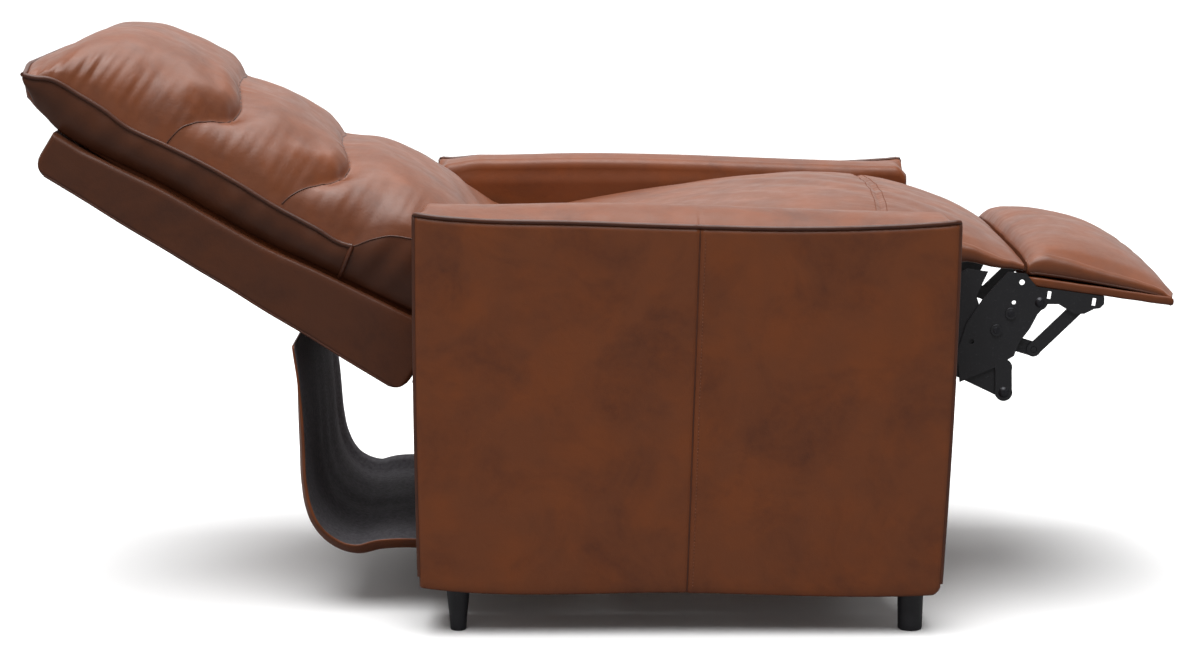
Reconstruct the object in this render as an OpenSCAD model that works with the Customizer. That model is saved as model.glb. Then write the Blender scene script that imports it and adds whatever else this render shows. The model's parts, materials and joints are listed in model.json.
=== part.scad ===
// Push-back recliner armchair, standing reclined with its footrest out.
// +X is the front, +Z is up, Z = 0 is the floor. LEFT and RIGHT are the sitter's.
// Lengths are in millimetres, angles in degrees.

/* [Overall] */
// Width over both arms
body_w = 780; // [640:1:940]
// Thickness of one arm
arm_w = 120; // [90:1:150]
// Length of an arm, front to rear
arm_len = 750; // [620:1:900]
// Height of an arm's top at its rear end
arm_h = 600; // [560:1:720]
// How much lower an arm's front end is than its rear end
arm_drop = 12; // [0:1:30]
// Height of the rear feet
foot_h = 70; // [50:1:85]

/* [Seat] */
// Height of the seat's crown
seat_h = 592; // [575:1:620]
// Thickness of a leather skin
skin_t = 2; // [1.5:0.1:2.5]

/* [Back] */
// Length of the back cushion above the hinge to the seat
back_len = 742; // [640:1:880]
// Slope of the reclined back
recline = 32; // [26:1:38]
// Turn of the back from reclined to upright
back_turn = 45; // [36:1:46]

/* [Mechanism] */
// Thickness of the steel plates
plate_t = 3; // [2.5:0.1:3.2]
// Free space between two plates
plate_gap = 0.6; // [0.4:0.1:0.8]
// Distance between the two pivots of a hanger
hanger_len = 70; // [58:1:101]
// Radial clearance of a pivot
pivot_clear = 0.05; // [0.02:0.01:0.08]
// Radius of the main pivots
pivot_r = 6; // [5:0.1:6.5]

/* [Footrest] */
// Length of the footrest from the seat's front edge
rest_len = 212; // [180:1:250]
// Thickness of the footrest board
rest_board_t = 9; // [7:0.5:10]

/* [Hidden] */
LEFT = 1;
RIGHT = -1;
$fn = 48;

leather = "#8a4a2a";
steel = "#1c1c1e";
ply = "#c9a26b";
foam = "#e8dfc4";
plastic = "#18181a";

// Side layers, counted inwards from the arm's inner face
inner_y = body_w / 2 - arm_w;
outer_y = body_w / 2;
function layer_in(k) = inner_y - plate_gap - k * (plate_t + plate_gap) - plate_t;
function layer_out(k) = layer_in(k) + plate_t;
BASE_LAYER = 0;
SWING_LAYER = 1;
SEAT_LAYER = 2;
BRACE_LAYER = 3;
SUPPORT_LAYER = 4;
cushion_y = layer_in(SWING_LAYER) - 0.8;
fit = 0.5;

// Pivots of the back and the seat, as [X, Z] with the back reclined
seat_pivot = [-259, 456];
hanger_lean = back_turn / 2;
hanger_v = hanger_len * [sin(hanger_lean), -cos(hanger_lean)];
back_pivot = seat_pivot - hanger_v;
front_pivot = [250, 380];
front_top_pivot = front_pivot - hanger_v;

// Pivots of the footrest linkage
plate_pivot = [457.4, 325];
bracket_pivot = [506, 455];
brace_top = [563, 448];
brace_foot = [500, 386];
support_pivot = [420, 410];
small_r = 4;

// ---- Plain helpers -------------------------------------------------------

function unit(v) = v / norm(v);

// Points of an outline moved inwards by t; the outline runs anticlockwise.
function inset(p, t) = [for (i = [0 : len(p) - 1])
    let (a = p[(i + len(p) - 1) % len(p)], b = p[i], c = p[(i + 1) % len(p)],
         u = unit(b - a), v = unit(c - b), m = [-u[1], u[0]], n = [-v[1], v[0]])
    b + t * (m + n) / (1 + m * n)];

// Points of an arc about c, both ends included.
function arc(c, r, from, to, steps = 8) =
    [for (i = [0 : steps]) let (a = from + (to - from) * i / steps) c + r * [cos(a), sin(a)]];

// Outline of a sheet of thickness t that follows an open path.
function side_of_path(p, t) = [for (i = [0 : len(p) - 1])
    let (u = unit(p[i] - p[max(i - 1, 0)] + (i == 0 ? p[1] - p[0] : [0, 0])),
         v = i == len(p) - 1 ? u : unit(p[i + 1] - p[i]), m = [-u[1], u[0]], n = [-v[1], v[0]])
    p[i] + t * (m + n) / (1 + m * n)];
function reversed(p) = [for (i = [1 : len(p)]) p[len(p) - i]];
function ribbon(p, t) = concat(side_of_path(p, t / 2), reversed(side_of_path(p, -t / 2)));

// Part of the side view as a slab between two distances from the middle.
module slab(side, y_in, y_out) {
    y_low = side > 0 ? y_in : -y_out;
    rotate([90, 0, 0])
        translate([0, 0, -y_low - (y_out - y_in)])
            linear_extrude(y_out - y_in) children();
}

// Part of the side view as a slab right across the middle.
module across(half) {
    rotate([90, 0, 0])
        translate([0, 0, -half])
            linear_extrude(2 * half) children();
}

module at_layer(side, k) {
    slab(side, layer_in(k), layer_out(k)) children();
}

module disc(p, r) {
    translate(p) circle(r);
}

// A bar with round ends; its waist is a little narrower than the ends.
module bar(p, q, r) {
    v = q - p;
    waist = 0.95 * r;
    disc(p, r);
    disc(q, r);
    translate(p) rotate(atan2(v[1], v[0])) translate([0, -waist]) square([norm(v), 2 * waist]);
}

// A round pin across the layers from_k (outer) to to_k (inner).
module pin(side, p, r, from_k, to_k) {
    slab(side, layer_in(to_k) + 0.1, layer_out(from_k) - 0.1) disc(p, r);
}

// Puts the side view of the back, drawn along its slope from the seat pivot, in place.
module on_back() {
    translate(seat_pivot) rotate(-recline) children();
}

function back_x(p) = seat_pivot[0] + p[0] * cos(recline) + p[1] * sin(recline);

// ---- Outlines ------------------------------------------------------------

front_taper = 17;
function arm_drop_at(x) = arm_drop * (x / arm_len + 0.5);
function arm_bottom(x) = foot_h - arm_drop_at(x);
toe_r = 14;
heel = [-arm_len / 2 + 3, arm_bottom(-arm_len / 2)];
toe_arc = arc([arm_len / 2 - front_taper - toe_r, arm_bottom(arm_len / 2) + toe_r], toe_r, -92, -2, 4);
function arm_underside(x) = heel[1] + (toe_arc[0][1] - heel[1]) * (x - heel[0]) / (toe_arc[0][0] - heel[0]);
arm_outline = concat(
    [heel],
    toe_arc,
    [[arm_len / 2, arm_h - arm_drop], [0, arm_h - arm_drop / 2 + 4], [-arm_len / 2, arm_h]]);

// The back along its slope: s runs down the slope, h stands off it.
crown = 64;
board_top = -back_len + 84;
board_end = -51;
board_h = [-189, -129];
narrow_from = -70;
cushion_outline = concat(
    [[-back_len + 8, -78], [-back_len + 44, -116], [-back_len + 96, -124], [board_end - 40, -124]],
    arc([0, 0], crown, -100, 90, 12),
    [[-100, 66], [-185, 74], [-271, 64], [-316, 42], [-366, 50], [-412, 54], [-490, 38],
     [-556, 48], [-637, 38], [-693, 4], [-back_len + 6, -42], [-back_len, -66]]);
board_outline = concat(
    arc([board_end - 26, board_h[0] + 26], 26, -90, 0, 5),
    [[board_end, board_h[1]], [board_top + 8, board_h[1]]],
    arc([board_top + 26, board_h[0] + 26], 26, 170, 270, 5));

seat_rear = -196;
seat_under = 484;
seat_front = 485;
lip_from = 340;
seat_outline = [[seat_rear, seat_under], [lip_from, seat_under], [394, 511], [seat_front - 2, 498],
    [seat_front, 510], [424, seat_h - 42], [350, seat_h - 16], [252, seat_h - 1], [200, seat_h],
    [129, seat_h - 4], [65, seat_h - 13], [-52, seat_h - 32], [seat_rear - 4, seat_h - 62]];

rest_start = 488;
rest_fall = 0.145;
rest_tip = rest_start + rest_len;
function rest_line(x) = 479.5 - rest_fall * (x - rest_start);
board_skin = 1.5;
rest_wrap_t = rest_board_t + 2 * board_skin;
rest_pad_under = rest_wrap_t + 1.5;
function board_point(x, up) = [x, rest_line(x) + up];
rest_board_outline = [board_point(rest_start + 2, 0), board_point(rest_tip - 8, 0),
    board_point(rest_tip - 4, rest_wrap_t / 2), board_point(rest_tip - 8, rest_wrap_t),
    board_point(rest_start + 2, rest_wrap_t)];
rest_pad_outline = [[rest_start + 5, rest_line(rest_start) + rest_pad_under],
    [rest_tip - 8, rest_line(rest_tip) + rest_pad_under],
    [rest_tip, rest_line(rest_tip) + rest_pad_under + 9],
    [rest_tip - 9, rest_line(rest_tip) + 38], [rest_tip - 58, rest_line(rest_tip) + 64],
    [rest_start + 84, rest_line(rest_start) + 58], [rest_start + 34, rest_line(rest_start) + 50],
    [rest_start + 1, rest_line(rest_start) + 29]];

// The origin is under the middle of the whole chair.
mid_x = (min([for (p = cushion_outline) back_x(p)]) + rest_tip) / 2;

module placed() {
    translate([-mid_x, 0, 0]) children();
}

// ---- Base: arms, rails, feet ---------------------------------------------

panel_inset = 28;
outer_ply = 12;
inner_ply = 15;
rib_w = [70, 44, 44, 44, 70];
foot_x = arm_len / 2 - 55;

module arm_inside(top_gap) {
    intersection() {
        polygon(inset(arm_outline, skin_t + fit));
        translate([-arm_len, 0]) square([2 * arm_len, arm_h - arm_drop - top_gap]);
    }
}

module arm_panel_outer(side) {
    y = outer_y - skin_t - fit;
    color(ply) placed() slab(side, y - outer_ply, y) arm_inside(panel_inset);
}

module arm_panel_inner(side) {
    y = inner_y + skin_t + fit;
    color(ply) placed() slab(side, y, y + inner_ply) arm_inside(panel_inset);
}

module arm_ribs(side) {
    y_in = inner_y + skin_t + inner_ply + 2 * fit;
    y_out = outer_y - skin_t - outer_ply - 2 * fit;
    pitch = (arm_len - 90) / 4;
    color(ply) placed()
        slab(side, y_in, y_out)
            intersection() {
                arm_inside(panel_inset);
                for (i = [0 : 4])
                    translate([(i - 2) * pitch - rib_w[i] / 2, 0]) square([rib_w[i], arm_h]);
            }
}

module arm_pad(side) {
    color(foam) placed()
        slab(side, inner_y + skin_t + fit, outer_y - skin_t - fit)
            difference() {
                polygon(inset(arm_outline, skin_t + fit));
                translate([-arm_len, 0])
                    square([2 * arm_len, arm_h - arm_drop - panel_inset + fit]);
            }
}

module arm_cover(side) {
    color(leather) placed()
        difference() {
            slab(side, inner_y, outer_y) polygon(arm_outline);
            slab(side, inner_y + skin_t, outer_y - skin_t)
                union() {
                    polygon(inset(arm_outline, skin_t));
                    translate([-arm_len / 2 + 12, 0]) square([arm_len - 50, arm_h / 2]);
                }
        }
}

rail_span = inner_y - 0.3;
rear_rail_x = -235;
rear_rail_z = 84;
front_rail_x = arm_len / 2 - 75;

module front_rail() {
    color(ply) placed()
        translate([front_rail_x, -rail_span, 70]) cube([22, 2 * rail_span, 80]);
}

module rear_rail() {
    color(ply) placed()
        translate([rear_rail_x, -rail_span, rear_rail_z]) cube([30, 2 * rail_span, 66]);
}

module foot(side, x, r_low, r_top) {
    height = arm_underside(x + r_top) - 0.05;
    color(plastic) placed()
        translate([x, side * (outer_y - 45), 0])
            difference() {
                cylinder(h = height, r1 = r_low, r2 = r_top);
                translate([0, 0, 12]) cylinder(h = height, r = small_r + pivot_clear);
            }
}

module foot_front(side) {
    foot(side, foot_x, 17, 19);
}

module foot_rear(side) {
    foot(side, -foot_x, 11, 17.5);
}

base_strip_r = 12;

module base_plate(side) {
    color(steel) placed()
        at_layer(side, BASE_LAYER)
            difference() {
                bar(back_pivot, front_top_pivot, base_strip_r);
                disc(back_pivot, pivot_r + pivot_clear);
                disc(front_top_pivot, pivot_r + pivot_clear);
            }
}

module base_screws() {
    rail_screw_z = [100, 130];
    color(steel) placed()
        for (side = [LEFT, RIGHT]) {
            for (t = [0.2, 0.5, 0.8])
                slab(side, layer_in(BASE_LAYER), inner_y + skin_t + 12)
                    disc(back_pivot + t * (front_top_pivot - back_pivot), small_r);
            for (z = rail_screw_z, x = [front_rail_x + 11, rear_rail_x + 15])
                slab(side, inner_y - 40, inner_y + inner_ply) disc([x, z], small_r);
            for (x = [-foot_x, foot_x])
                translate([x, side * (outer_y - 45), 12.1])
                    cylinder(h = arm_bottom(x) + 24, r = small_r);
        }
}

module base_rivets() {
    color(steel) placed()
        for (side = [LEFT, RIGHT], p = [back_pivot, front_top_pivot])
            pin(side, p, pivot_r, BASE_LAYER, SWING_LAYER);
}

flap_t = 3;
flap_low = rear_rail_z + 4;
flap_bend = [-480, 143];
flap_r = 68;

// Leather sheet that hangs from the back's underside and runs in under the seat.
module rear_flap() {
    hang = [[-558, 395], [-553, 316], [-549, 184]];
    turn = arc([flap_bend[0] + 2, flap_bend[1] + 9], flap_r, 180, 262, 6);
    run = [[-430, flap_low - 3], [-390, flap_low], [rear_rail_x - flap_t / 2 - fit, flap_low]];
    color(leather) placed()
        across(cushion_y - 2) polygon(ribbon(concat(hang, turn, run), flap_t));
}

// ---- Back ----------------------------------------------------------------

stile_w = 42;
frame_y = cushion_y - 2 - skin_t - fit;
frame_outline = inset(board_outline, skin_t + fit);

module back_slice(s_from, s_to) {
    on_back()
        intersection() {
            polygon(frame_outline);
            translate([s_from, board_h[0]]) square([s_to - s_from, board_h[1] - board_h[0] - fit]);
        }
}

module back_stile(side) {
    color(ply) placed()
        slab(side, frame_y - stile_w, frame_y) back_slice(-back_len, board_end);
}

module back_top_rail() {
    color(ply) placed()
        across(frame_y - stile_w - fit) back_slice(-back_len, board_top + 62);
}

module back_bottom_rail() {
    color(ply) placed()
        across(frame_y - stile_w - fit) back_slice(board_end - 62, board_end);
}

module back_webbing() {
    straps = 5;
    strap_w = 50;
    from = board_top + 80;
    to = board_end - 130;
    color("#2a2a2c") placed()
        across(frame_y - 4)
            on_back()
                for (i = [0 : straps - 1])
                    translate([from + i * (to - from) / (straps - 1), board_h[1] - fit + 0.2])
                        square([strap_w, 1.8]);
}

module back_board_cover() {
    color(leather) placed()
        difference() {
            across(cushion_y - 2) on_back() polygon(board_outline);
            across(cushion_y - 2 - skin_t)
                on_back()
                    union() {
                        polygon(inset(board_outline, skin_t));
                        translate([board_top + 12, board_h[0] + 30])
                            square([board_end - board_top - 16, board_h[1] - board_h[0]]);
                    }
        }
}

foot_plate_s = board_end + 3.5;

// Steel plate from the back frame's lower end up to both pivots.
bracket_r = 11;
bracket_foot_in = 57.5;
back_screw_in = [15.5, 39.5];

module back_bracket(side) {
    pivot_on_back = [
        (back_pivot - seat_pivot) * [cos(recline), -sin(recline)],
        (back_pivot - seat_pivot) * [sin(recline), cos(recline)]];
    color(steel) placed() {
        at_layer(side, SWING_LAYER)
            on_back()
                difference() {
                    union() {
                        bar([0, 0], pivot_on_back, bracket_r);
                        polygon([[-18, -160], [10, -4], pivot_on_back + [6, 7],
                            pivot_on_back + [-10, -4], [foot_plate_s, -120], [foot_plate_s, -165],
                            [foot_plate_s + 14, -168]]);
                    }
                    disc([0, 0], pivot_r + pivot_clear);
                    disc(pivot_on_back, pivot_r + pivot_clear);
                }
        slab(side, frame_y - bracket_foot_in, layer_out(SWING_LAYER))
            on_back()
                translate([foot_plate_s, -165]) square([plate_t, 36]);
    }
}

module back_screws() {
    color(steel) placed()
        for (side = [LEFT, RIGHT], off = back_screw_in)
            translate([seat_pivot[0], side * (frame_y - off), seat_pivot[1]])
                rotate([0, recline, 0])
                    translate([board_end - 40, 0, -147])
                        rotate([0, 90, 0]) cylinder(h = 40 + 3.5 + plate_t, r = 3);
}

module cushion_inside(s_from, s_to) {
    on_back()
        intersection() {
            polygon(inset(cushion_outline, skin_t + fit));
            translate([s_from, -400]) square([s_to - s_from, 800]);
        }
}

head_to = -490;
middle_to = -316;
narrow_y = layer_in(SEAT_LAYER) - 3.2;

module head_fill() {
    color(foam) placed()
        across(cushion_y - skin_t - fit) cushion_inside(-2 * back_len, head_to - fit / 2);
}

module middle_fill() {
    color(foam) placed()
        across(cushion_y - skin_t - fit) cushion_inside(head_to + fit / 2, middle_to - fit / 2);
}

module lower_fill() {
    color(foam) placed() {
        across(cushion_y - skin_t - fit) cushion_inside(middle_to + fit / 2, narrow_from - skin_t - fit);
        across(narrow_y - skin_t - fit) cushion_inside(middle_to + fit / 2, 2 * crown);
    }
}

module back_cushion_cover() {
    opening = [board_top + 14, -140];
    color(leather) placed()
        difference() {
            union() {
                across(narrow_y) on_back() polygon(cushion_outline);
                across(cushion_y)
                    on_back()
                        intersection() {
                            polygon(cushion_outline);
                            translate([-2 * back_len, -400]) square([2 * back_len + narrow_from, 800]);
                        }
            }
            across(cushion_y - skin_t)
                on_back()
                    intersection() {
                        union() {
                            polygon(inset(cushion_outline, skin_t));
                            translate(opening) square([board_end - 60 - opening[0], 60]);
                        }
                        translate([-2 * back_len, -400])
                            square([2 * back_len + narrow_from - skin_t, 800]);
                    }
            across(narrow_y - skin_t)
                on_back() polygon(inset(cushion_outline, skin_t));
        }
}

// ---- Seat ----------------------------------------------------------------

rail_low = 436;
rail_top = seat_under - 1;
side_rail_t = 26;
side_rail_y = layer_in(SEAT_LAYER) - 0.4;
rail_from = -188;
rail_to = 330;
cross_rail_y = side_rail_y - side_rail_t - fit;

module seat_side_rail(side) {
    color(ply) placed()
        slab(side, side_rail_y - side_rail_t, side_rail_y)
            translate([rail_from, rail_low]) square([rail_to - rail_from, rail_top - rail_low]);
}

module seat_cross_rail(x) {
    color(ply) placed()
        translate([x, -cross_rail_y, rail_low]) cube([30, 2 * cross_rail_y, rail_top - rail_low - 8]);
}

module seat_front_rail() {
    seat_cross_rail(rail_to - 30);
}

module seat_rear_rail() {
    seat_cross_rail(rail_from);
}

wire_r = 2;
spring_w = 44;

// One zigzag spring wire in plan, from the rear rail to the front rail.
module zigzag(length, pitch) {
    count = floor(length / pitch);
    for (i = [0 : count - 1]) {
        edge = i % 2 == 0 ? 1 : -1;
        bar([i * pitch, -edge * spring_w / 2], [i * pitch, edge * spring_w / 2], wire_r);
        bar([i * pitch, edge * spring_w / 2], [(i + 1) * pitch, edge * spring_w / 2], wire_r);
    }
}

module seat_springs() {
    color("#6d6d70") placed()
        for (y = [-165, -55, 55, 165])
            translate([rail_from + 14, y, rail_top - 7.5])
                linear_extrude(2 * wire_r) zigzag(rail_to - rail_from - 20, 30);
}

module seat_foam() {
    color(foam) placed()
        across(cushion_y - skin_t - fit) polygon(inset(seat_outline, skin_t + fit));
}

module seat_cover() {
    color(leather) placed()
        difference() {
            across(cushion_y) polygon(seat_outline);
            across(cushion_y - skin_t)
                union() {
                    polygon(inset(seat_outline, skin_t));
                    translate([seat_rear + 10, seat_under - 20]) square([lip_from - seat_rear - 30, 40]);
                }
        }
}

seat_plate_outline = [seat_pivot + [-4, -15], [-205, 428], [225, 428], [234, 372], [266, 372], [275, 424],
    [330, 424], [385, 350], plate_pivot + [-12, -4], plate_pivot + [11, 8], [446, 392], [424, 440],
    [416, 464], [432, 499], [402, 503], [360, rail_top - 4], [-200, rail_top - 4], seat_pivot + [-4, 16]];

module seat_plate(side) {
    color(steel) placed()
        at_layer(side, SEAT_LAYER)
            difference() {
                union() {
                    polygon(seat_plate_outline);
                    disc(seat_pivot, 16);
                    disc(front_pivot, 16);
                    disc(plate_pivot, 12.5);
                }
                disc(seat_pivot, pivot_r + pivot_clear);
                disc(front_pivot, pivot_r + pivot_clear);
                disc(plate_pivot, tube_r + pivot_clear);
                disc(support_pivot, small_r + pivot_clear);
            }
}

module seat_rivets() {
    color(steel) placed()
        for (side = [LEFT, RIGHT]) {
            pin(side, seat_pivot, pivot_r, SWING_LAYER, SEAT_LAYER);
            pin(side, front_pivot, pivot_r, SWING_LAYER, SEAT_LAYER);
            pin(side, support_pivot, small_r, SEAT_LAYER, SUPPORT_LAYER);
            for (x = [-150, 0, 150, 300])
                slab(side, side_rail_y - 18, layer_out(SEAT_LAYER)) disc([x, 460], 3);
        }
}

module front_hanger(side) {
    color(steel) placed()
        at_layer(side, SWING_LAYER)
            difference() {
                bar(front_top_pivot, front_pivot, 14);
                disc(front_top_pivot, pivot_r + pivot_clear);
                disc(front_pivot, pivot_r + pivot_clear);
            }
}

// ---- Footrest linkage ----------------------------------------------------

tube_r = 7;

// Curved steel plate that carries the footrest bracket at its upper end.
plate_outline = [[394, 340], [445, 362], [471, 378], [477, 396], [493, 418], [503, 438], [512, 448],
    [512, 464], [486, 496], [460, 499], [424, 459], [402, 424], [390, 384]];

module curved_plate(side) {
    color(steel) placed() {
        at_layer(side, SWING_LAYER)
            difference() {
                union() {
                    polygon(plate_outline);
                    disc(bracket_pivot, 11);
                    bar(plate_pivot + [-1, 36], plate_pivot, 12.5);
                }
                disc([410, 399], 3.5);
                disc([469, 455], 3);
                disc([480, 484], 4);
            }
        pin(side, bracket_pivot, pivot_r, SWING_LAYER, SEAT_LAYER);
        pin(side, plate_pivot, tube_r, SWING_LAYER, SEAT_LAYER);
        slab(side, layer_out(SWING_LAYER) - 0.5, layer_out(SWING_LAYER) + 2) {
            disc([465, 439], 8);
            disc([445, 415], 8);
        }
    }
}

spreader = [352, 452];

module cross_tube() {
    color(steel) placed()
        difference() {
            across(layer_in(SEAT_LAYER)) disc(spreader, tube_r);
            across(layer_in(SEAT_LAYER) + 1) disc(spreader, tube_r - 2);
        }
}

module support_link(side) {
    color(steel) placed() {
        at_layer(side, SUPPORT_LAYER)
            difference() {
                bar(support_pivot, brace_foot, 11);
                disc(support_pivot, small_r + pivot_clear);
            }
        slab(side, layer_out(SUPPORT_LAYER) - 0.5, layer_out(BRACE_LAYER) - 0.2) disc(brace_foot, small_r);
    }
}

open_pivot_clear = 0.6;

module brace_link(side) {
    color(steel) placed()
        at_layer(side, BRACE_LAYER)
            difference() {
                bar(brace_top, brace_foot, 10);
                disc(brace_top, small_r + pivot_clear);
                disc(brace_foot, small_r + open_pivot_clear);
            }
}

bracket_end = rest_start + 110;
flange_low = plate_t + fit;

module footrest_bracket(side) {
    web = [[rest_start + 12, 452], [533, 452], [556, 438], [570, 438], [584, 445], [bracket_end - 6, 446],
        [bracket_end, 452], board_point(bracket_end, -fit), board_point(rest_start + 12, -fit)];
    flange = [[rest_start + 12, rest_line(rest_start + 12) - flange_low],
        [bracket_end, rest_line(bracket_end) - flange_low],
        [bracket_end, rest_line(bracket_end) - fit], [rest_start + 12, rest_line(rest_start + 12) - fit]];
    color(steel) placed() {
        at_layer(side, SEAT_LAYER)
            difference() {
                union() {
                    polygon(web);
                    disc(bracket_pivot, 11);
                }
                disc(bracket_pivot, pivot_r + pivot_clear);
                for (at = [[bracket_end - 18, 450], [516, 460]])
                    translate(at) rotate(-8) square([5.5, 11]);
            }
        slab(side, layer_in(SEAT_LAYER) - 42, layer_out(SEAT_LAYER)) polygon(flange);
        slab(side, layer_in(BRACE_LAYER) + 0.1, layer_in(SEAT_LAYER) + 0.5) disc(brace_top, small_r);
    }
}

rest_y = cushion_y;

module footrest_board() {
    color(ply) placed()
        across(rest_y - board_skin - 0.3) polygon(inset(rest_board_outline, board_skin + 0.3));
}

module footrest_board_cover() {
    color(leather) placed()
        difference() {
            across(rest_y) polygon(rest_board_outline);
            across(rest_y - board_skin)
                union() {
                    polygon(inset(rest_board_outline, board_skin));
                    translate([rest_start + 30, rest_line(rest_tip) + rest_wrap_t / 2 - 2])
                        rotate(-8) translate([0, 26]) square([150, rest_wrap_t]);
                }
        }
}

module footrest_pad() {
    color(foam) placed()
        across(rest_y - skin_t - fit) polygon(inset(rest_pad_outline, skin_t + fit));
}

module footrest_cover() {
    color(leather) placed()
        difference() {
            across(rest_y) polygon(rest_pad_outline);
            across(rest_y - skin_t) polygon(inset(rest_pad_outline, skin_t));
        }
}

arm_panel_outer(LEFT);  // arm_panel_outer_left
arm_panel_outer(RIGHT);  // arm_panel_outer_right
arm_panel_inner(LEFT);  // arm_panel_inner_left
arm_panel_inner(RIGHT);  // arm_panel_inner_right
arm_ribs(LEFT);  // arm_ribs_left
arm_ribs(RIGHT);  // arm_ribs_right
arm_pad(LEFT);  // arm_pad_left
arm_pad(RIGHT);  // arm_pad_right
arm_cover(LEFT);  // arm_cover_left
arm_cover(RIGHT);  // arm_cover_right
front_rail();
rear_rail();
foot_front(LEFT);  // foot_front_left
foot_front(RIGHT);  // foot_front_right
foot_rear(LEFT);  // foot_rear_left
foot_rear(RIGHT);  // foot_rear_right
base_plate(LEFT);  // base_plate_left
base_plate(RIGHT);  // base_plate_right
base_screws();
base_rivets();
rear_flap();
back_stile(LEFT);  // back_stile_left
back_stile(RIGHT);  // back_stile_right
back_top_rail();
back_bottom_rail();
back_webbing();
back_board_cover();
back_bracket(LEFT);  // back_bracket_left
back_bracket(RIGHT);  // back_bracket_right
back_screws();
head_fill();
middle_fill();
lower_fill();
back_cushion_cover();
seat_side_rail(LEFT);  // seat_side_rail_left
seat_side_rail(RIGHT);  // seat_side_rail_right
seat_front_rail();
seat_rear_rail();
seat_springs();
seat_foam();
seat_cover();
seat_plate(LEFT);  // seat_plate_left
seat_plate(RIGHT);  // seat_plate_right
seat_rivets();
front_hanger(LEFT);  // front_hanger_left
front_hanger(RIGHT);  // front_hanger_right
curved_plate(LEFT);  // curved_plate_left
curved_plate(RIGHT);  // curved_plate_right
cross_tube();
support_link(LEFT);  // support_link_left
support_link(RIGHT);  // support_link_right
brace_link(LEFT);  // brace_link_left
brace_link(RIGHT);  // brace_link_right
footrest_bracket(LEFT);  // footrest_bracket_left
footrest_bracket(RIGHT);  // footrest_bracket_right
footrest_board();
footrest_board_cover();
footrest_pad();
footrest_cover();
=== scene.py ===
"""Looks of a push-back recliner armchair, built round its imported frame.

Lengths are in metres in the frame of the chair. The side view of the base, seat and footrest is
measured from the middle of the arms, and the back is measured along its own slope.
"""
import json
import logging
import math
from dataclasses import dataclass
from enum import Enum
from typing import Callable, Optional, Sequence

import bmesh
import bpy
import numpy as np
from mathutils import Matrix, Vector


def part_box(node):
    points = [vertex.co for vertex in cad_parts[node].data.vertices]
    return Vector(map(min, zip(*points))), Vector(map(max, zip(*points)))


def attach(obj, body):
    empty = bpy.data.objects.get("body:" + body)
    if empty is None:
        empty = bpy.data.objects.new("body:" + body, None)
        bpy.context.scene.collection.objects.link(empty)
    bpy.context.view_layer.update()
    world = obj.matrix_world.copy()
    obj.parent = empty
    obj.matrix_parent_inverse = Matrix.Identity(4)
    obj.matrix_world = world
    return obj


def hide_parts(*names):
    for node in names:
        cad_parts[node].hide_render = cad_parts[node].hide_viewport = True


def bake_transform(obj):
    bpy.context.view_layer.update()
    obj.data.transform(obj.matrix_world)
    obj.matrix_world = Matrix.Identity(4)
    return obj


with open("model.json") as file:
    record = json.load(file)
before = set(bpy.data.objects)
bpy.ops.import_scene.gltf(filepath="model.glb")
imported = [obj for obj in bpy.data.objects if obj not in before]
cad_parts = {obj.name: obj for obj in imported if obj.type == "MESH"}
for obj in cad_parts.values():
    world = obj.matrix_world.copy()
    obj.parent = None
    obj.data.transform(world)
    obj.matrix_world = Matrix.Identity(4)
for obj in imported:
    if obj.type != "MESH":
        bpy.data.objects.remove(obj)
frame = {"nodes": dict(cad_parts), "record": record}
log = logging.getLogger("recliner")

MM = 0.001
IMAGE_WIDTH = 1200
Array = np.ndarray
Shape = bmesh.types.BMesh
Material = bpy.types.Material
Node = bpy.types.Node
Socket = bpy.types.NodeSocket
Tree = bpy.types.NodeTree
Colour = tuple[float, float, float, float]
Pairs = Sequence[tuple[float, float]]
Places = Callable[[Array, Array, Array], Array]


class Side(Enum):
    """The sitter's left and right."""

    LEFT = 1
    RIGHT = -1

    @property
    def word(self) -> str:
        """The side's name as the frame's nodes spell it."""
        return self.name.lower()


class Body(Enum):
    """The bodies of the frame that pieces ride on."""

    BASE = "base"
    BACK = "back"
    SEAT = "seat"
    CURVED_PLATES = "curved_plates"
    FOOTREST = "footrest"


# ---- Shape tools ---------------------------------------------------------


@dataclass(frozen=True)
class Profile:
    """A smooth line through measured points in millimetres, read in metres.

    Args:
        points: Pairs of place and height, in rising order of place.
    """

    points: Pairs

    def at(self, place: Array) -> Array:
        """Height of the line at each place.

        Args:
            place: Places along the line, in metres.

        Returns:
            Heights in metres.
        """
        xs, ys = (np.array(column, float) * MM for column in zip(*self.points))
        slopes = np.gradient(ys, xs)
        place = np.clip(place, xs[0], xs[-1])
        i = np.clip(np.searchsorted(xs, place) - 1, 0, len(xs) - 2)
        width = xs[i + 1] - xs[i]
        t = (place - xs[i]) / width
        return ((1 + 2 * t) * (1 - t) ** 2 * ys[i] + t * (1 - t) ** 2 * width * slopes[i]
                + t * t * (3 - 2 * t) * ys[i + 1] + t * t * (t - 1) * width * slopes[i + 1])


def smooth(value: Array, low: float, high: float) -> Array:
    """Rises softly from 0 at low to 1 at high.

    Args:
        value: Values to weigh.
        low: Where the rise starts.
        high: Where it ends.

    Returns:
        Weights from 0 to 1.
    """
    t = np.clip((value - low) / (high - low), 0, 1)
    return t * t * (3 - 2 * t)


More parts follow.
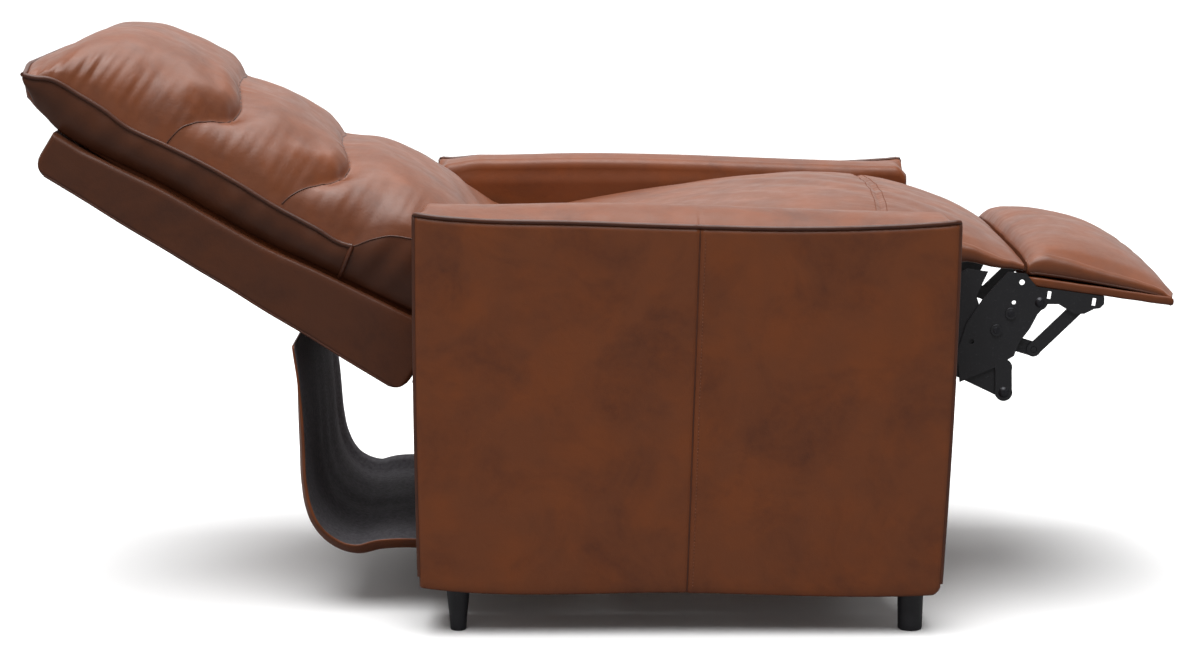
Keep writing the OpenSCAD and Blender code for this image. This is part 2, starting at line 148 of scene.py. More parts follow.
def folds(along: Array, across: Array, pitch: float, turn: float) -> Array:
    """Uneven soft folds that run across a line.

    Args:
        along: Places along the line, in metres.
        across: Places across it, in metres.
        pitch: Usual distance between two folds, in metres.
        turn: A number that sets where the folds fall.

    Returns:
        Heights from about -1 to 1.
    """
    a = along / pitch * 2 * math.pi
    b = across / pitch
    return (0.5 * np.sin(a + 1.3 * np.sin(0.37 * a + turn) + 0.8 * b)
            + 0.3 * np.sin(1.71 * a + 2.1 * turn - 0.6 * b)
            + 0.2 * np.sin(0.53 * a - turn + 1.1 * b))


def rounded(a: Array, b: Array, a_span: tuple[float, float], b_span: tuple[float, float],
            radius: float) -> tuple[Array, Array]:
    """Rounds the corners of a rectangle's rim.

    Args:
        a: First coordinate of the points.
        b: Second coordinate of the points.
        a_span: Lowest and highest first coordinate.
        b_span: Lowest and highest second coordinate.
        radius: Radius of the corners.

    Returns:
        Both coordinates with the points outside the radius drawn in.
    """
    near_a = np.clip(a, a_span[0] + radius, a_span[1] - radius)
    near_b = np.clip(b, b_span[0] + radius, b_span[1] - radius)
    reach = np.hypot(a - near_a, b - near_b)
    share = np.where(reach > radius, radius / np.maximum(reach, 1e-9), 1.0)
    return near_a + (a - near_a) * share, near_b + (b - near_b) * share


def stations(low: float, high: float, step: float, fine: Sequence[float] = (), band: float = 0.012) -> Array:
    """Places of the edge rings along one direction, closer together round some lines.

    Args:
        low: First place.
        high: Last place.
        step: Usual distance between rings.
        fine: Lines that need close rings.
        band: How far to each side of such a line the rings are close.

    Returns:
        Rising places in metres.
    """
    places = list(np.linspace(low, high, max(2, round((high - low) / step) + 1)))
    for line in fine:
        places += list(np.linspace(line - band, line + band, 13))
    kept = [low]
    for place in sorted(places):
        if place - kept[-1] > step * 0.22 and place < high:
            kept.append(place)
    return np.array(kept + [high])


def block(rings: Sequence[Array], place: Places, paint: Optional[Callable[[Vector], int]] = None) -> Shape:
    """A closed box of quads with a ring of edges at each station, moved into a soft shape.

    Args:
        rings: Stations along the three directions.
        place: Gives the points for arrays of the three stations.
        paint: Gives a face's material number from its direction on the box.

    Returns:
        The shaped mesh.
    """
    shape = bmesh.new()
    bmesh.ops.create_cube(shape, size=2.0)
    for axis, ring in enumerate(rings):
        along = [e for e in shape.edges if abs((e.verts[0].co - e.verts[1].co)[axis]) > 0.5]
        bmesh.ops.subdivide_edges(shape, edges=along, cuts=len(ring) - 2, use_grid_fill=True)
    if paint:
        shape.normal_update()
        for face in shape.faces:
            face.material_index = paint(face.normal)
    corners = np.array([corner.co for corner in shape.verts])
    picked = [ring[np.round((corners[:, axis] + 1) / 2 * (len(ring) - 1)).astype(int)]
              for axis, ring in enumerate(rings)]
    for corner, point in zip(shape.verts, place(*picked)):
        corner.co = point
    bmesh.ops.recalc_face_normals(shape, faces=shape.faces)
    return shape


def turned(profile: Pairs, centre: Vector, axis: Vector, steps: int = 40) -> Shape:
    """A turned piece: a profile of radius and height spun round an axis.

    Args:
        profile: Pairs of radius and height in millimetres, from end to end.
        centre: Where height 0 lies on the axis.
        axis: Direction in which height grows.
        steps: Faces round the piece.

    Returns:
        The closed mesh.
    """
    shape = bmesh.new()
    points = [shape.verts.new((r * MM, 0, h * MM)) for r, h in profile]
    edges = [shape.edges.new(pair) for pair in zip(points, points[1:])]
    bmesh.ops.spin(shape, geom=points + edges, cent=(0, 0, 0), axis=(0, 0, 1), angle=2 * math.pi,
                   steps=steps, use_merge=True)
    bmesh.ops.remove_doubles(shape, verts=shape.verts, dist=1e-6)
    bmesh.ops.recalc_face_normals(shape, faces=shape.faces)
    turn = Vector((0, 0, 1)).rotation_difference(axis).to_matrix()
    bmesh.ops.rotate(shape, verts=shape.verts, cent=(0, 0, 0), matrix=turn)
    bmesh.ops.translate(shape, verts=shape.verts, vec=centre)
    return shape


def merged(shapes: Sequence[Shape]) -> Shape:
    """Several meshes in one.

    Args:
        shapes: Meshes to put together; they are used up.

    Returns:
        One mesh.
    """
    whole = bmesh.new()
    for shape in shapes:
        part = bpy.data.meshes.new("part")
        shape.to_mesh(part)
        shape.free()
        whole.from_mesh(part)
        bpy.data.meshes.remove(part)
    return whole


def vectors(points: Array) -> list[Vector]:
    """Rows of three numbers as vectors."""
    return [Vector(p) for p in points]


def bull_edge(across: Array, up: Array, start: float, depth: Array, power: float) -> Array:
    """How far the side of a cushion draws in above and below its middle, so that the edge is round.

    Args:
        across: -1 to 1 over the width.
        up: 0 underneath to 1 on top.
        start: Share of the half width where the rounding starts.
        depth: Radius of the edge.
        power: How square the rounding is.

    Returns:
        Signed lengths to take off the place across.
    """
    over = np.abs(up * 2 - 1)
    share = 1 - np.sqrt(np.clip(1 - over ** power, 0, 1))
    return np.sign(across) * smooth(np.abs(across), start, 1.0) * depth * share * 0.9


def cord_mesh(paths: Sequence[Sequence[Vector]], radius: float) -> Shape:
    """Round cords along paths.

    Args:
        paths: Points of each cord.
        radius: Half the cord's thickness.

    Returns:
        The cords as one mesh.
    """
    line = bpy.data.curves.new("cord", "CURVE")
    line.dimensions = "3D"
    line.bevel_depth = radius
    line.bevel_resolution = 3
    line.use_fill_caps = True
    for path in paths:
        spline = line.splines.new("POLY")
        spline.points.add(len(path) - 1)
        for point, place in zip(spline.points, path):
            point.co = (*place, 1)
    holder = bpy.data.objects.new("cord", line)
    part = bpy.data.meshes.new_from_object(holder)
    shape = bmesh.new()
    shape.from_mesh(part)
    bpy.data.objects.remove(holder)
    bpy.data.meshes.remove(part)
    bpy.data.curves.remove(line)
    return shape


def stitches(path: Sequence[Vector], normal: Vector, length: float = 0.0034, gap: float = 0.0014,
             thick: float = 0.0005) -> Shape:
    """A row of short sunk threads along a path.

    Args:
        path: Points of the row on the skin.
        normal: Direction out of the skin.
        length: Length of one stitch.
        gap: Skin between two stitches.
        thick: Half the thread's thickness.

    Returns:
        The row as one mesh.
    """
    points = np.array([tuple(p) for p in path])
    run = np.concatenate([[0], np.cumsum(np.linalg.norm(np.diff(points, axis=0), axis=1))])
    row = bmesh.new()
    for start in np.arange(gap, run[-1] - length, length + gap):
        ends = [Vector(np.array([np.interp(start + t, run, points[:, k]) for k in range(3)]))
                for t in (0, length)]
        along = (ends[1] - ends[0]).normalized()
        made = bmesh.ops.create_uvsphere(row, u_segments=6, v_segments=4, radius=1.0)["verts"]
        bmesh.ops.scale(row, verts=made, vec=(thick * 1.5, thick, length / 2))
        turn = Vector((0, 0, 1)).rotation_difference(along).to_matrix()
        bmesh.ops.rotate(row, verts=made, cent=(0, 0, 0), matrix=turn)
        bmesh.ops.translate(row, verts=made, vec=(ends[0] + ends[1]) / 2 + normal * thick * 0.4)
    return row


def distance_to_line(line: Array, a: Array, b: Array) -> Array:
    """Shortest distance from points to a drawn line in a plane.

    Args:
        line: Close points of the line, as rows of two.
        a: First coordinate of the points.
        b: Second coordinate of the points.

    Returns:
        Distances.
    """
    nearest = np.full(a.shape, np.inf)
    for p, q in zip(line, line[1:]):
        edge = q - p
        t = np.clip(((a - p[0]) * edge[0] + (b - p[1]) * edge[1]) / max(edge @ edge, 1e-12), 0, 1)
        nearest = np.minimum(nearest, np.hypot(a - p[0] - t * edge[0], b - p[1] - t * edge[1]))
    return nearest


@dataclass(frozen=True)
class Workshop:
    """Puts finished meshes into the scene on their bodies."""

    arm_middle: float

    def side_view(self, x: Array, y: Array, z: Array) -> Array:
        """Points of the chair from the side view of the arms."""
        return np.stack([x + self.arm_middle, y, z], axis=-1)

    def point(self, x: float, y: float, z: float) -> Vector:
        """One point from the side view of the arms."""
        return Vector((x + self.arm_middle, y, z))

    def place(self, shape: Shape, name: str, finishes: Sequence[Material],
              body: Optional[Body], slot: str = "leather") -> bpy.types.Object:
        """Makes an object of a mesh and sets it on its body.

        Args:
            shape: The mesh, used up here.
            name: Name of the piece.
            finishes: Its materials in order.
            body: The body that it rides on, or None to leave it on no body.
            slot: The record's material slot; not used.

        Returns:
            The object.
        """
        mesh = bpy.data.meshes.new(name)
        shape.to_mesh(mesh)
        shape.free()
        for face in mesh.polygons:
            face.use_smooth = True
        for finish in finishes:
            mesh.materials.append(finish)
        piece = bpy.data.objects.new(name, mesh)
        bpy.context.scene.collection.objects.link(piece)
        if body:
            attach(piece, body.value)
        return piece


# ---- Finishes ------------------------------------------------------------


@dataclass(frozen=True)
class Bench:
    """A node tree with short ways to add and join nodes."""

    tree: Tree

    def node(self, kind: str, inputs: Optional[dict] = None, **settings: object) -> Node:
        """Adds a node.

        Args:
            kind: Blender's type name without its ShaderNode start.
            inputs: Values of its sockets by name or number.
            settings: Values of its properties.

        Returns:
            The node.
        """
        made = self.tree.nodes.new("ShaderNode" + kind)
        for name, value in settings.items():
            setattr(made, name, value)
        for name, value in (inputs or {}).items():
            if isinstance(value, Socket):
                self.tree.links.new(value, made.inputs[name])
            else:
                made.inputs[name].default_value = value
        return made

    def join(self, output: Socket, given: Socket) -> None:
        """Joins an output to an input."""
        self.tree.links.new(output, given)

    def math(self, operation: str, a: object, b: object = 0.0) -> Socket:
        """Adds a Math node and gives its output."""
        return self.node("Math", {0: a, 1: b}, operation=operation).outputs[0]

    def spread(self, value: Socket, low: float, high: float, to_low: float = 0.0,
               to_high: float = 1.0) -> Socket:
        """Maps a value from one range to another and gives the output."""
        return self.node("MapRange", {"Value": value, "From Min": low, "From Max": high, "To Min": to_low,
                                      "To Max": to_high}, clamp=True).outputs[0]

    def noise(self, place: Socket, scale: object, detail: float, **more: float) -> Socket:
        """Adds cloudy noise, with more of its sockets by name, and gives its value."""
        named = {name.title(): value for name, value in more.items()}
        return self.node("TexNoise", {"Vector": place, "Scale": scale, "Detail": detail, **named}).outputs[0]

    def coat(self, shader: Node, tint: Socket, bump: Node) -> None:
        """Gives a shader its colour and its relief."""
        self.join(tint, shader.inputs["Base Color"])
        self.join(bump.outputs["Normal"], shader.inputs["Normal"])

    def blend(self, share: object, first: object, second: object) -> Socket:
        """Mixes two colours and gives the output."""
        return self.node("Mix", {0: share, 6: first, 7: second}, data_type="RGBA").outputs[2]


def group(name: str, inputs: dict, outputs: dict) -> tuple[Tree, Bench, Node, Node]:
    """Starts a shader node group with named sockets.

    Args:
        name: Name of the group.
        inputs: Socket names with their usual values.
        outputs: Socket names with their socket types.

    Returns:
        The group, its bench, its input node and its output node.
    """
    tree = bpy.data.node_groups.new(name, "ShaderNodeTree")
    for socket, value in inputs.items():
        kind = "NodeSocketColor" if isinstance(value, tuple) and len(value) == 4 else (
            "NodeSocketVector" if isinstance(value, tuple) else "NodeSocketFloat")
        tree.interface.new_socket(socket, in_out="INPUT", socket_type=kind).default_value = value
    for socket, kind in outputs.items():
        tree.interface.new_socket(socket, in_out="OUTPUT", socket_type=kind)
    bench = Bench(tree)
    return tree, bench, tree.nodes.new("NodeGroupInput"), tree.nodes.new("NodeGroupOutput")


@dataclass
class SharedEffects:
    """Node groups that several finishes use."""

    mottle: Tree
    grain: Tree
    wear: Tree
    weave: Tree

    @classmethod
    def made(cls) -> "SharedEffects":
        """Builds each group once."""
        return cls(cls.mottle_group(), cls.grain_group(), cls.wear_group(), cls.weave_group())

    @staticmethod
    def mottle_group() -> Tree:
        """Cloudy two-tone dye: broad patches with a finer broken edge."""
        tree, bench, given, out = group(
            "CloudyDye",
            {"Place": (0.0, 0.0, 0.0), "Light": (0.5, 0.5, 0.5, 1.0), "Deep": (0.1, 0.1, 0.1, 1.0),
             "Warm": (0.6, 0.4, 0.2, 1.0), "Patch": 9.0, "Amount": 1.0},
            {"Color": "NodeSocketColor", "Depth": "NodeSocketFloat"})
        place, patch = given.outputs["Place"], given.outputs["Patch"]
        broad = bench.noise(place, patch, 5.0, roughness=0.62, distortion=0.6)
        patches = bench.spread(broad, 0.44, 0.70)
        finer = bench.noise(place, bench.math("MULTIPLY", patch, 4.3), 6.0, roughness=0.7)
        broken = bench.math("MULTIPLY", patches, bench.spread(finer, 0.34, 0.62, 0.35, 1.0))
        depth = bench.math("MULTIPLY", broken, given.outputs["Amount"])
        streaks = bench.noise(place, bench.math("MULTIPLY", patch, 2.1), 3.0)
        warmth = bench.spread(streaks, 0.42, 0.68, 0.0, 0.8)
        warm = bench.blend(warmth, given.outputs["Light"], given.outputs["Warm"])
        dyed = bench.blend(depth, warm, given.outputs["Deep"])
        bench.join(dyed, out.inputs["Color"])
        bench.join(depth, out.inputs["Depth"])
        return tree

    @staticmethod
    def grain_group() -> Tree:
        """Fine pebbled grain with soft creases."""
        tree, bench, given, out = group(
            "PebbledGrain",
            {"Place": (0.0, 0.0, 0.0), "Pebbles": 700.0, "Creases": 28.0, "Crease Share": 0.5},
            {"Height": "NodeSocketFloat"})
        place = given.outputs["Place"]
        cells = bench.node("TexVoronoi", {"Vector": place, "Scale": given.outputs["Pebbles"]},
                           feature="SMOOTH_F1")
        pebbles = bench.spread(cells.outputs["Distance"], 0.0, 0.7, 1.0, 0.0)
        soft = bench.noise(place, given.outputs["Creases"], 4.0, roughness=0.55, distortion=0.4)
        ridge = bench.math("ABSOLUTE", bench.math("SUBTRACT", soft, 0.5))
        creases = bench.math("MULTIPLY", bench.spread(ridge, 0.0, 0.12), given.outputs["Crease Share"])
        bench.join(bench.math("ADD", bench.math("MULTIPLY", pebbles, 0.25), creases), out.inputs["Height"])
        return tree

    @staticmethod
    def wear_group() -> Tree:
        """Handling marks: faint scuffs and a cloudy change of gloss."""
        tree, bench, given, out = group(
            "HandlingMarks", {"Place": (0.0, 0.0, 0.0), "Scale": 40.0, "Low": 0.35, "High": 0.55},
            {"Gloss": "NodeSocketFloat", "Scuff": "NodeSocketFloat"})
        place, scale = given.outputs["Place"], given.outputs["Scale"]
        cloud = bench.noise(place, scale, 6.0, roughness=0.6)
        span = bench.node("MapRange", {"Value": cloud, "From Min": 0.3, "From Max": 0.7,
                                       "To Min": given.outputs["Low"], "To Max": given.outputs["High"]})
        scratches = bench.noise(place, bench.math("MULTIPLY", scale, 9.0), 2.0, distortion=1.5)
        bench.join(span.outputs[0], out.inputs["Gloss"])
        bench.join(bench.spread(scratches, 0.62, 0.72), out.inputs["Scuff"])
        return tree

    @staticmethod
    def weave_group() -> Tree:
        """Crossed threads of a cloth."""
        tree, bench, given, out = group(
            "CrossedThreads", {"Place": (0.0, 0.0, 0.0), "Threads": 900.0},
            {"Height": "NodeSocketFloat"})
        waves = []
        for direction in ("X", "Y"):
            wave = bench.node("TexWave", {"Vector": given.outputs["Place"], "Scale": given.outputs["Threads"],
                                          "Distortion": 0.6, "Detail": 1.0}, bands_direction=direction)
            waves.append(wave.outputs["Fac"])
        bench.join(bench.math("MAXIMUM", waves[0], waves[1]), out.inputs["Height"])
        return tree


def linear(red: int, green: int, blue: int) -> Colour:
    """A display colour from 0 to 255 as Blender's linear colour.

    Args:
        red: Red share.
        green: Green share.
        blue: Blue share.

    Returns:
        The colour with a solid alpha.
    """
    shares = [share / 255 for share in (red, green, blue)]
    return (*(s / 12.92 if s <= 10 / 255 else ((s + 0.055) / 1.055) ** 2.4 for s in shares), 1.0)


def start_finish(name: str, roughness: float, metallic: float = 0.0) -> tuple[Material, Bench, Node, Socket]:
    """Starts a material with its shader and object place.

    Args:
        name: Name of the finish.
        roughness: Roughness where nothing else sets it.
        metallic: Share of bare metal.

    Returns:
        The material, its bench, its shader and the place on the object.
    """
    material = bpy.data.materials.new(name)
    material.use_nodes = True
    bench = Bench(material.node_tree)
    shader = next(n for n in material.node_tree.nodes if n.type == "BSDF_PRINCIPLED")
    shader.inputs["Roughness"].default_value = roughness
    shader.inputs["Metallic"].default_value = metallic
    return material, bench, shader, bench.node("TexCoord").outputs["Object"]


@dataclass(frozen=True)
class LeatherFinish:
    """Mottled brown coated leather."""

    name: str
    light: Colour
    warm: Colour
    deep: Colour
    patch: float = 9.0
    mottling: float = 0.75
    low_gloss: float = 0.36
    high_gloss: float = 0.5
    grain_depth: float = 0.16
    shine: float = 0.45

    def made(self, effects: SharedEffects) -> Material:
        """Builds the material.

        Args:
            effects: The shared node groups.

        Returns:
            The material.
        """
        material, bench, shader, place = start_finish(self.name, self.low_gloss)
        dye = bench.node("Group", node_tree=effects.mottle)
        grain = bench.node("Group", node_tree=effects.grain)
        marks = bench.node("Group", node_tree=effects.wear)
        for effect in (dye, grain, marks):
            bench.join(place, effect.inputs["Place"])
        for socket, value in (("Light", self.light), ("Warm", self.warm), ("Deep", self.deep),
                              ("Patch", self.patch), ("Amount", self.mottling)):
            dye.inputs[socket].default_value = value
        marks.inputs["Low"].default_value = self.low_gloss
        marks.inputs["High"].default_value = self.high_gloss
        bump = bench.node("Bump", {"Strength": self.grain_depth, "Distance": 0.0012,
                                   "Height": grain.outputs["Height"]})
        bench.coat(shader, dye.outputs["Color"], bump)
        bench.join(marks.outputs["Gloss"], shader.inputs["Roughness"])
        shader.inputs["Specular IOR Level"].default_value = self.shine
        shader.inputs["Coat Weight"].default_value = 0.04
        shader.inputs["Coat Roughness"].default_value = 0.3
        return material


@dataclass(frozen=True)
class PaintFinish:
    """Paint or moulded plastic with faint texture and handling marks."""

    name: str
    colour: Colour
    scuffed: Colour
    low_gloss: float
    high_gloss: float
    texture: float = 900.0
    depth: float = 0.12
    metallic: float = 0.0

    def made(self, effects: SharedEffects) -> Material:
        """Builds the material.

        Args:
            effects: The shared node groups.

        Returns:
            The material.
        """
        material, bench, shader, place = start_finish(self.name, self.low_gloss, self.metallic)
        marks = bench.node("Group", node_tree=effects.wear)
        bench.join(place, marks.inputs["Place"])
        marks.inputs["Low"].default_value = self.low_gloss
        marks.inputs["High"].default_value = self.high_gloss
        tint = bench.blend(bench.math("MULTIPLY", marks.outputs["Scuff"], 0.5), self.colour, self.scuffed)
        peel = bench.noise(place, self.texture, 2.0)
        bump = bench.node("Bump", {"Strength": self.depth, "Distance": 0.0006, "Height": peel})
        bench.coat(shader, tint, bump)
        bench.join(marks.outputs["Gloss"], shader.inputs["Roughness"])
        return material


@dataclass(frozen=True)
class ClothFinish:
    """Woven or felted cloth."""

    name: str
    light: Colour
    deep: Colour
    threads: float = 700.0
    depth: float = 0.4
    roughness: float = 0.85

    def made(self, effects: SharedEffects) -> Material:
        """Builds the material.

        Args:
            effects: The shared node groups.

        Returns:
            The material.
        """
        material, bench, shader, place = start_finish(self.name, self.roughness)
        weave = bench.node("Group", node_tree=effects.weave)
        bench.join(place, weave.inputs["Place"])
        weave.inputs["Threads"].default_value = self.threads
        cloud = bench.noise(place, 160.0, 5.0, roughness=0.7)
        share = bench.math("MULTIPLY", bench.spread(cloud, 0.35, 0.68), 0.8)
        tint = bench.blend(share, self.deep, self.light)
        bump = bench.node("Bump", {"Strength": self.depth, "Distance": 0.0008,
                                   "Height": weave.outputs["Height"]})
        bench.coat(shader, tint, bump)
        return material


@dataclass(frozen=True)
class FoamFinish:
    """Open foam or a fibre casing: pale, matt and porous."""

    name: str
    light: Colour
    deep: Colour
    pores: float = 350.0

    def made(self, effects: SharedEffects) -> Material:
        """Builds the material.

        Args:
            effects: The shared node groups.

        Returns:
            The material.
        """
        material, bench, shader, place = start_finish(self.name, 0.92)
        cells = bench.node("TexVoronoi", {"Vector": place, "Scale": self.pores})
        depth = bench.spread(cells.outputs["Distance"], 0.1, 0.6)
        # The pores, the low places of the bump, take the deeper colour: painted shade in the pores.
        tint = bench.blend(depth, self.deep, self.light)
        bump = bench.node("Bump", {"Strength": 0.5, "Distance": 0.001, "Height": depth})
        bench.coat(shader, tint, bump)
        return material


@dataclass(frozen=True)
class PlywoodFinish:
    """Plywood with long grain and thin layers on its edges."""

    name: str
    light: Colour
    deep: Colour

    def made(self, effects: SharedEffects) -> Material:
        """Builds the material.

        Args:
            effects: The shared node groups.

        Returns:
            The material.
        """
        material, bench, shader, place = start_finish(self.name, 0.6)
        stretched = bench.node("Mapping", {"Vector": place, "Scale": (4.0, 60.0, 60.0)})
        figure = bench.noise(stretched.outputs[0], 3.0, 6.0, roughness=0.65, distortion=0.8)
        tint = bench.blend(bench.spread(figure, 0.3, 0.7), self.deep, self.light)
        bump = bench.node("Bump", {"Strength": 0.2, "Distance": 0.0006, "Height": figure})
        bench.coat(shader, tint, bump)
        return material


@dataclass
class Palette:
    """The chair's finished materials."""

    leather: Material
    leather_side: Material
    boxing: Material
    welt: Material
    thread: Material
    lining: Material
    steel: Material
    bright_steel: Material
    plastic: Material
    wire: Material
    foam: Material
    casing: Material
    plywood: Material
    webbing: Material

    @classmethod
    def made(cls) -> "Palette":
        """Builds every finish once.

        Returns:
            The palette.
        """
        effects = SharedEffects.made()
        black = linear(34, 34, 37)
        return cls(
            leather=LeatherFinish("Leather", linear(118, 65, 37), linear(128, 68, 34), linear(82, 44, 30),
                                  mottling=0.55).made(effects),
            leather_side=LeatherFinish("PanelLeather", linear(117, 64, 36), linear(127, 67, 33),
                                       linear(84, 46, 31), patch=8.0, mottling=0.75, shine=0.3).made(effects),
            # Boxing leather: the same leather darkened, painted shade for the back cushion's boxing and the
            # back board's wrap.
            boxing=LeatherFinish("ShadedBoxingLeather", linear(86, 48, 30), linear(93, 50, 28), linear(60, 34, 25),
                                 patch=8.0, mottling=0.6, shine=0.3).made(effects),
            welt=LeatherFinish("WeltLeather", linear(84, 45, 28), linear(92, 48, 27), linear(60, 32, 22),
                               grain_depth=0.1).made(effects),
            thread=ClothFinish("BrownThread", linear(150, 88, 56), linear(110, 62, 40), threads=2500.0,
                               roughness=0.7).made(effects),
            lining=ClothFinish("BlackLining", linear(128, 124, 130), linear(92, 90, 95), threads=900.0,
                               depth=0.5).made(effects),
            steel=PaintFinish("BlackSteel", black, linear(70, 70, 74), 0.36, 0.52).made(effects),
            bright_steel=PaintFinish("RivetSteel", linear(48, 48, 52), linear(110, 110, 114), 0.3, 0.45,
                                     metallic=0.6).made(effects),
            plastic=PaintFinish("FootPlastic", linear(46, 45, 49), linear(68, 68, 72), 0.38, 0.5,
                                texture=500.0).made(effects),
            wire=PaintFinish("SpringWire", linear(120, 120, 124), linear(60, 56, 54), 0.3, 0.5,
                             metallic=0.9).made(effects),
            foam=FoamFinish("Foam", linear(226, 214, 176), linear(196, 180, 138)).made(effects),
            casing=FoamFinish("FibreCasing", linear(232, 232, 228), linear(205, 205, 202),
                              pores=600.0).made(effects),
            plywood=PlywoodFinish("Plywood", linear(205, 172, 122), linear(160, 122, 76)).made(effects),
            webbing=ClothFinish("Webbing", linear(60, 60, 64), linear(28, 28, 30),
                                threads=500.0).made(effects))


@dataclass
class Upholstery:
    """A sub-assembly, with the shop that places its pieces and the palette that they are finished from."""

    shop: Workshop
    palette: Palette

    def cords(self, paths: Sequence[Sequence[Vector]], radius: float, name: str, body: Body) -> None:
        """Lays welt cords along paths on a body."""
        self.shop.place(cord_mesh(paths, radius), name, [self.palette.welt], body)


# ---- Arms ----------------------------------------------------------------


@dataclass
class Arm(Upholstery):
    """One padded arm: side panels, a crowned top that rolls over the inner edge, welts and a seam."""

    side: Side
    length: float = 0.750
    outer: float = 0.390
    inner: float = 0.270
    corner: float = 0.0075
    roll: float = 0.013
    seam_top: float = 0.018
    seam_bottom: float = 0.002
    welt_r: float = 0.0032
    rear_top: float = 0.598
    front_top: float = 0.587
    corner_droop: float = 0.010
    panel_low: float = 0.06
    panel_height: float = 0.53
    rake: float = 0.018
    rear_rake: float = 0.003
    fullness: float = 0.002
    toe: float = 0.014
    toe_low: float = 0.058
    shoulder: float = 0.012
    bow: float = 0.0028
    bow_folds: float = 0.0012
    puckers: float = 0.0011
    seam_depth: float = 0.0022
    seam_lap: float = 0.0011
    skirt: float = 0.0016
    plate_rise: float = 0.0037
    topstitch_gap: float = 0.0075
    sag: Profile = Profile(((-375, 0), (-355, -3), (-300, -7), (-150, -9), (0, -12), (150, -13), (250, -10),
                            (330, -5), (362, -2), (375, 0)))
    crest: Profile = Profile(((-375, 2), (-362, 5), (-335, 8), (-295, 11), (-175, 17), (0, 21), (180, 17),
                              (260, 12), (315, 7), (345, 4), (375, 1)))
    floor_line: Profile = Profile(((-375, 72), (-360, 70), (0, 64), (330, 58.5), (375, 60)))

    def edge_height(self, x: Array) -> Array:
        """Height of the welt on the top outer edge.

        Args:
            x: Places along the arm.

        Returns:
            Heights over the floor.
        """
        droop = self.corner_droop * smooth(-x, 0.30, self.length / 2) * (self.side is Side.LEFT)
        fall = (self.front_top - self.rear_top) * (x / self.length + 0.5)
        return self.rear_top - droop + fall + self.sag.at(x)

    def seam_at(self, up: Array) -> Array:
        """Place along the arm of the side panels' seam, from the bottom to the top."""
        return self.seam_bottom + (self.seam_top - self.seam_bottom) * up

    def end_x(self, x: Array, z: Array) -> Array:
        """Leans the front back towards its foot, rounds its toe and makes both ends a little full.

        Args:
            x: Places along a square-ended arm.
            z: Heights over the floor.

        Returns:
            Places along the arm as it is.
        """
        half = self.length / 2
        up = np.clip((z - self.panel_low) / self.panel_height, 0, 1)
        front = -self.rake * (1 - up) ** 1.2 + self.fullness * np.sin(math.pi * up)
        rear = self.rear_rake * (1 - up) - self.fullness * np.sin(math.pi * up)
        share = smooth(x, 0.0, half)
        back_share = smooth(-x, 0.0, half)
        low = np.clip(self.toe - (z - self.toe_low), 0, self.toe)
        tuck = (self.toe - np.sqrt(np.clip(self.toe ** 2 - low ** 2, 0, None))) * smooth(x, half - 0.03, half)
        return x + share * front + back_share * rear - tuck

    def shape(self, x: Array, across: Array, up: Array) -> Array:
        """Points of the arm's skin.

        Args:
            x: Places along the arm.
            across: 0 on the outer face to 1 on the inner face.
            up: 0 at the bottom to 1 at the top.

        Returns:
            Points in the chair's frame.
        """
        width = self.outer - self.inner
        rise = np.sin(0.5 * math.pi * np.clip(across / 0.6, 0, 1)) ** 0.8 - 0.2 * smooth(across, 0.6, 1.0)
        shoulder = self.shoulder * smooth(np.abs(x), 0.352, self.length / 2) ** 2 * smooth(across, 0.1, 0.4)
        top = self.edge_height(x) + self.crest.at(x) * rise - shoulder
        d = np.clip((across - 1) * width + self.roll, 0, self.roll)
        top = top - (self.roll - np.sqrt(self.roll ** 2 - d ** 2))
        low = self.floor_line.at(x)
        z = low + (top - low) * up
        outer_bow = (self.bow * np.sin(math.pi * np.clip(up, 0, 1)) ** 0.6
                     + self.bow_folds * folds(x, z, 0.21, 1.0) * np.sin(math.pi * up))
        near_top = np.exp(-np.clip(top - z, 0, 1) / 0.016)
        pucker = self.puckers * folds(x, z, 0.022, 2.0) * near_top * smooth(x, 0.05, 0.33)
        seam_x = self.seam_at(up)
        groove = -self.seam_depth * np.exp(-((x - seam_x) / 0.0024) ** 2)
        lap = self.seam_lap * smooth(x - seam_x, 0.002, 0.005) * (1 - smooth(x - seam_x, 0.012, 0.03))
        skirt = -self.skirt * np.exp(-(z - low) / 0.004)
        y_out = self.outer + 0.0006 + (outer_bow + pucker + groove + lap + skirt)
        over_plate = smooth(-x, -0.33, -0.27) * smooth(z, 0.36, 0.42) * smooth(-z, -0.585, -0.56)
        y_in = self.inner - 0.0002 - self.plate_rise * over_plate
        y_out = y_out - 0.003 * smooth(up, 0.985, 1.0)
        y = y_in + (y_out - y_in) * (1 - across)
        ends = np.minimum(self.length / 2 - np.abs(x), self.corner)
        inset = self.corner - np.sqrt(np.clip(self.corner ** 2 - (self.corner - ends) ** 2, 0, None))
        y = np.where(across < 0.5, y - inset * (0.5 - across) * 2, y + inset * (across - 0.5) * 2)
        z = z - 0.35 * inset * smooth(up, 0.96, 1.0)
        return self.shop.side_view(self.end_x(x, z), y * self.side.value, z)

    def edge_point(self, x: float, out: float, lift: float) -> Vector:
        """A point of the top outer edge.

        Args:
            x: Place along the arm.
            out: How far outside the face.
            lift: How far above the edge.

        Returns:
            The point.
        """
        place = np.array([x])
        point = self.shape(place, np.array([0.0]), np.array([1.0]))[0]
        return Vector((point[0], point[1] + self.side.value * out, point[2] + lift))

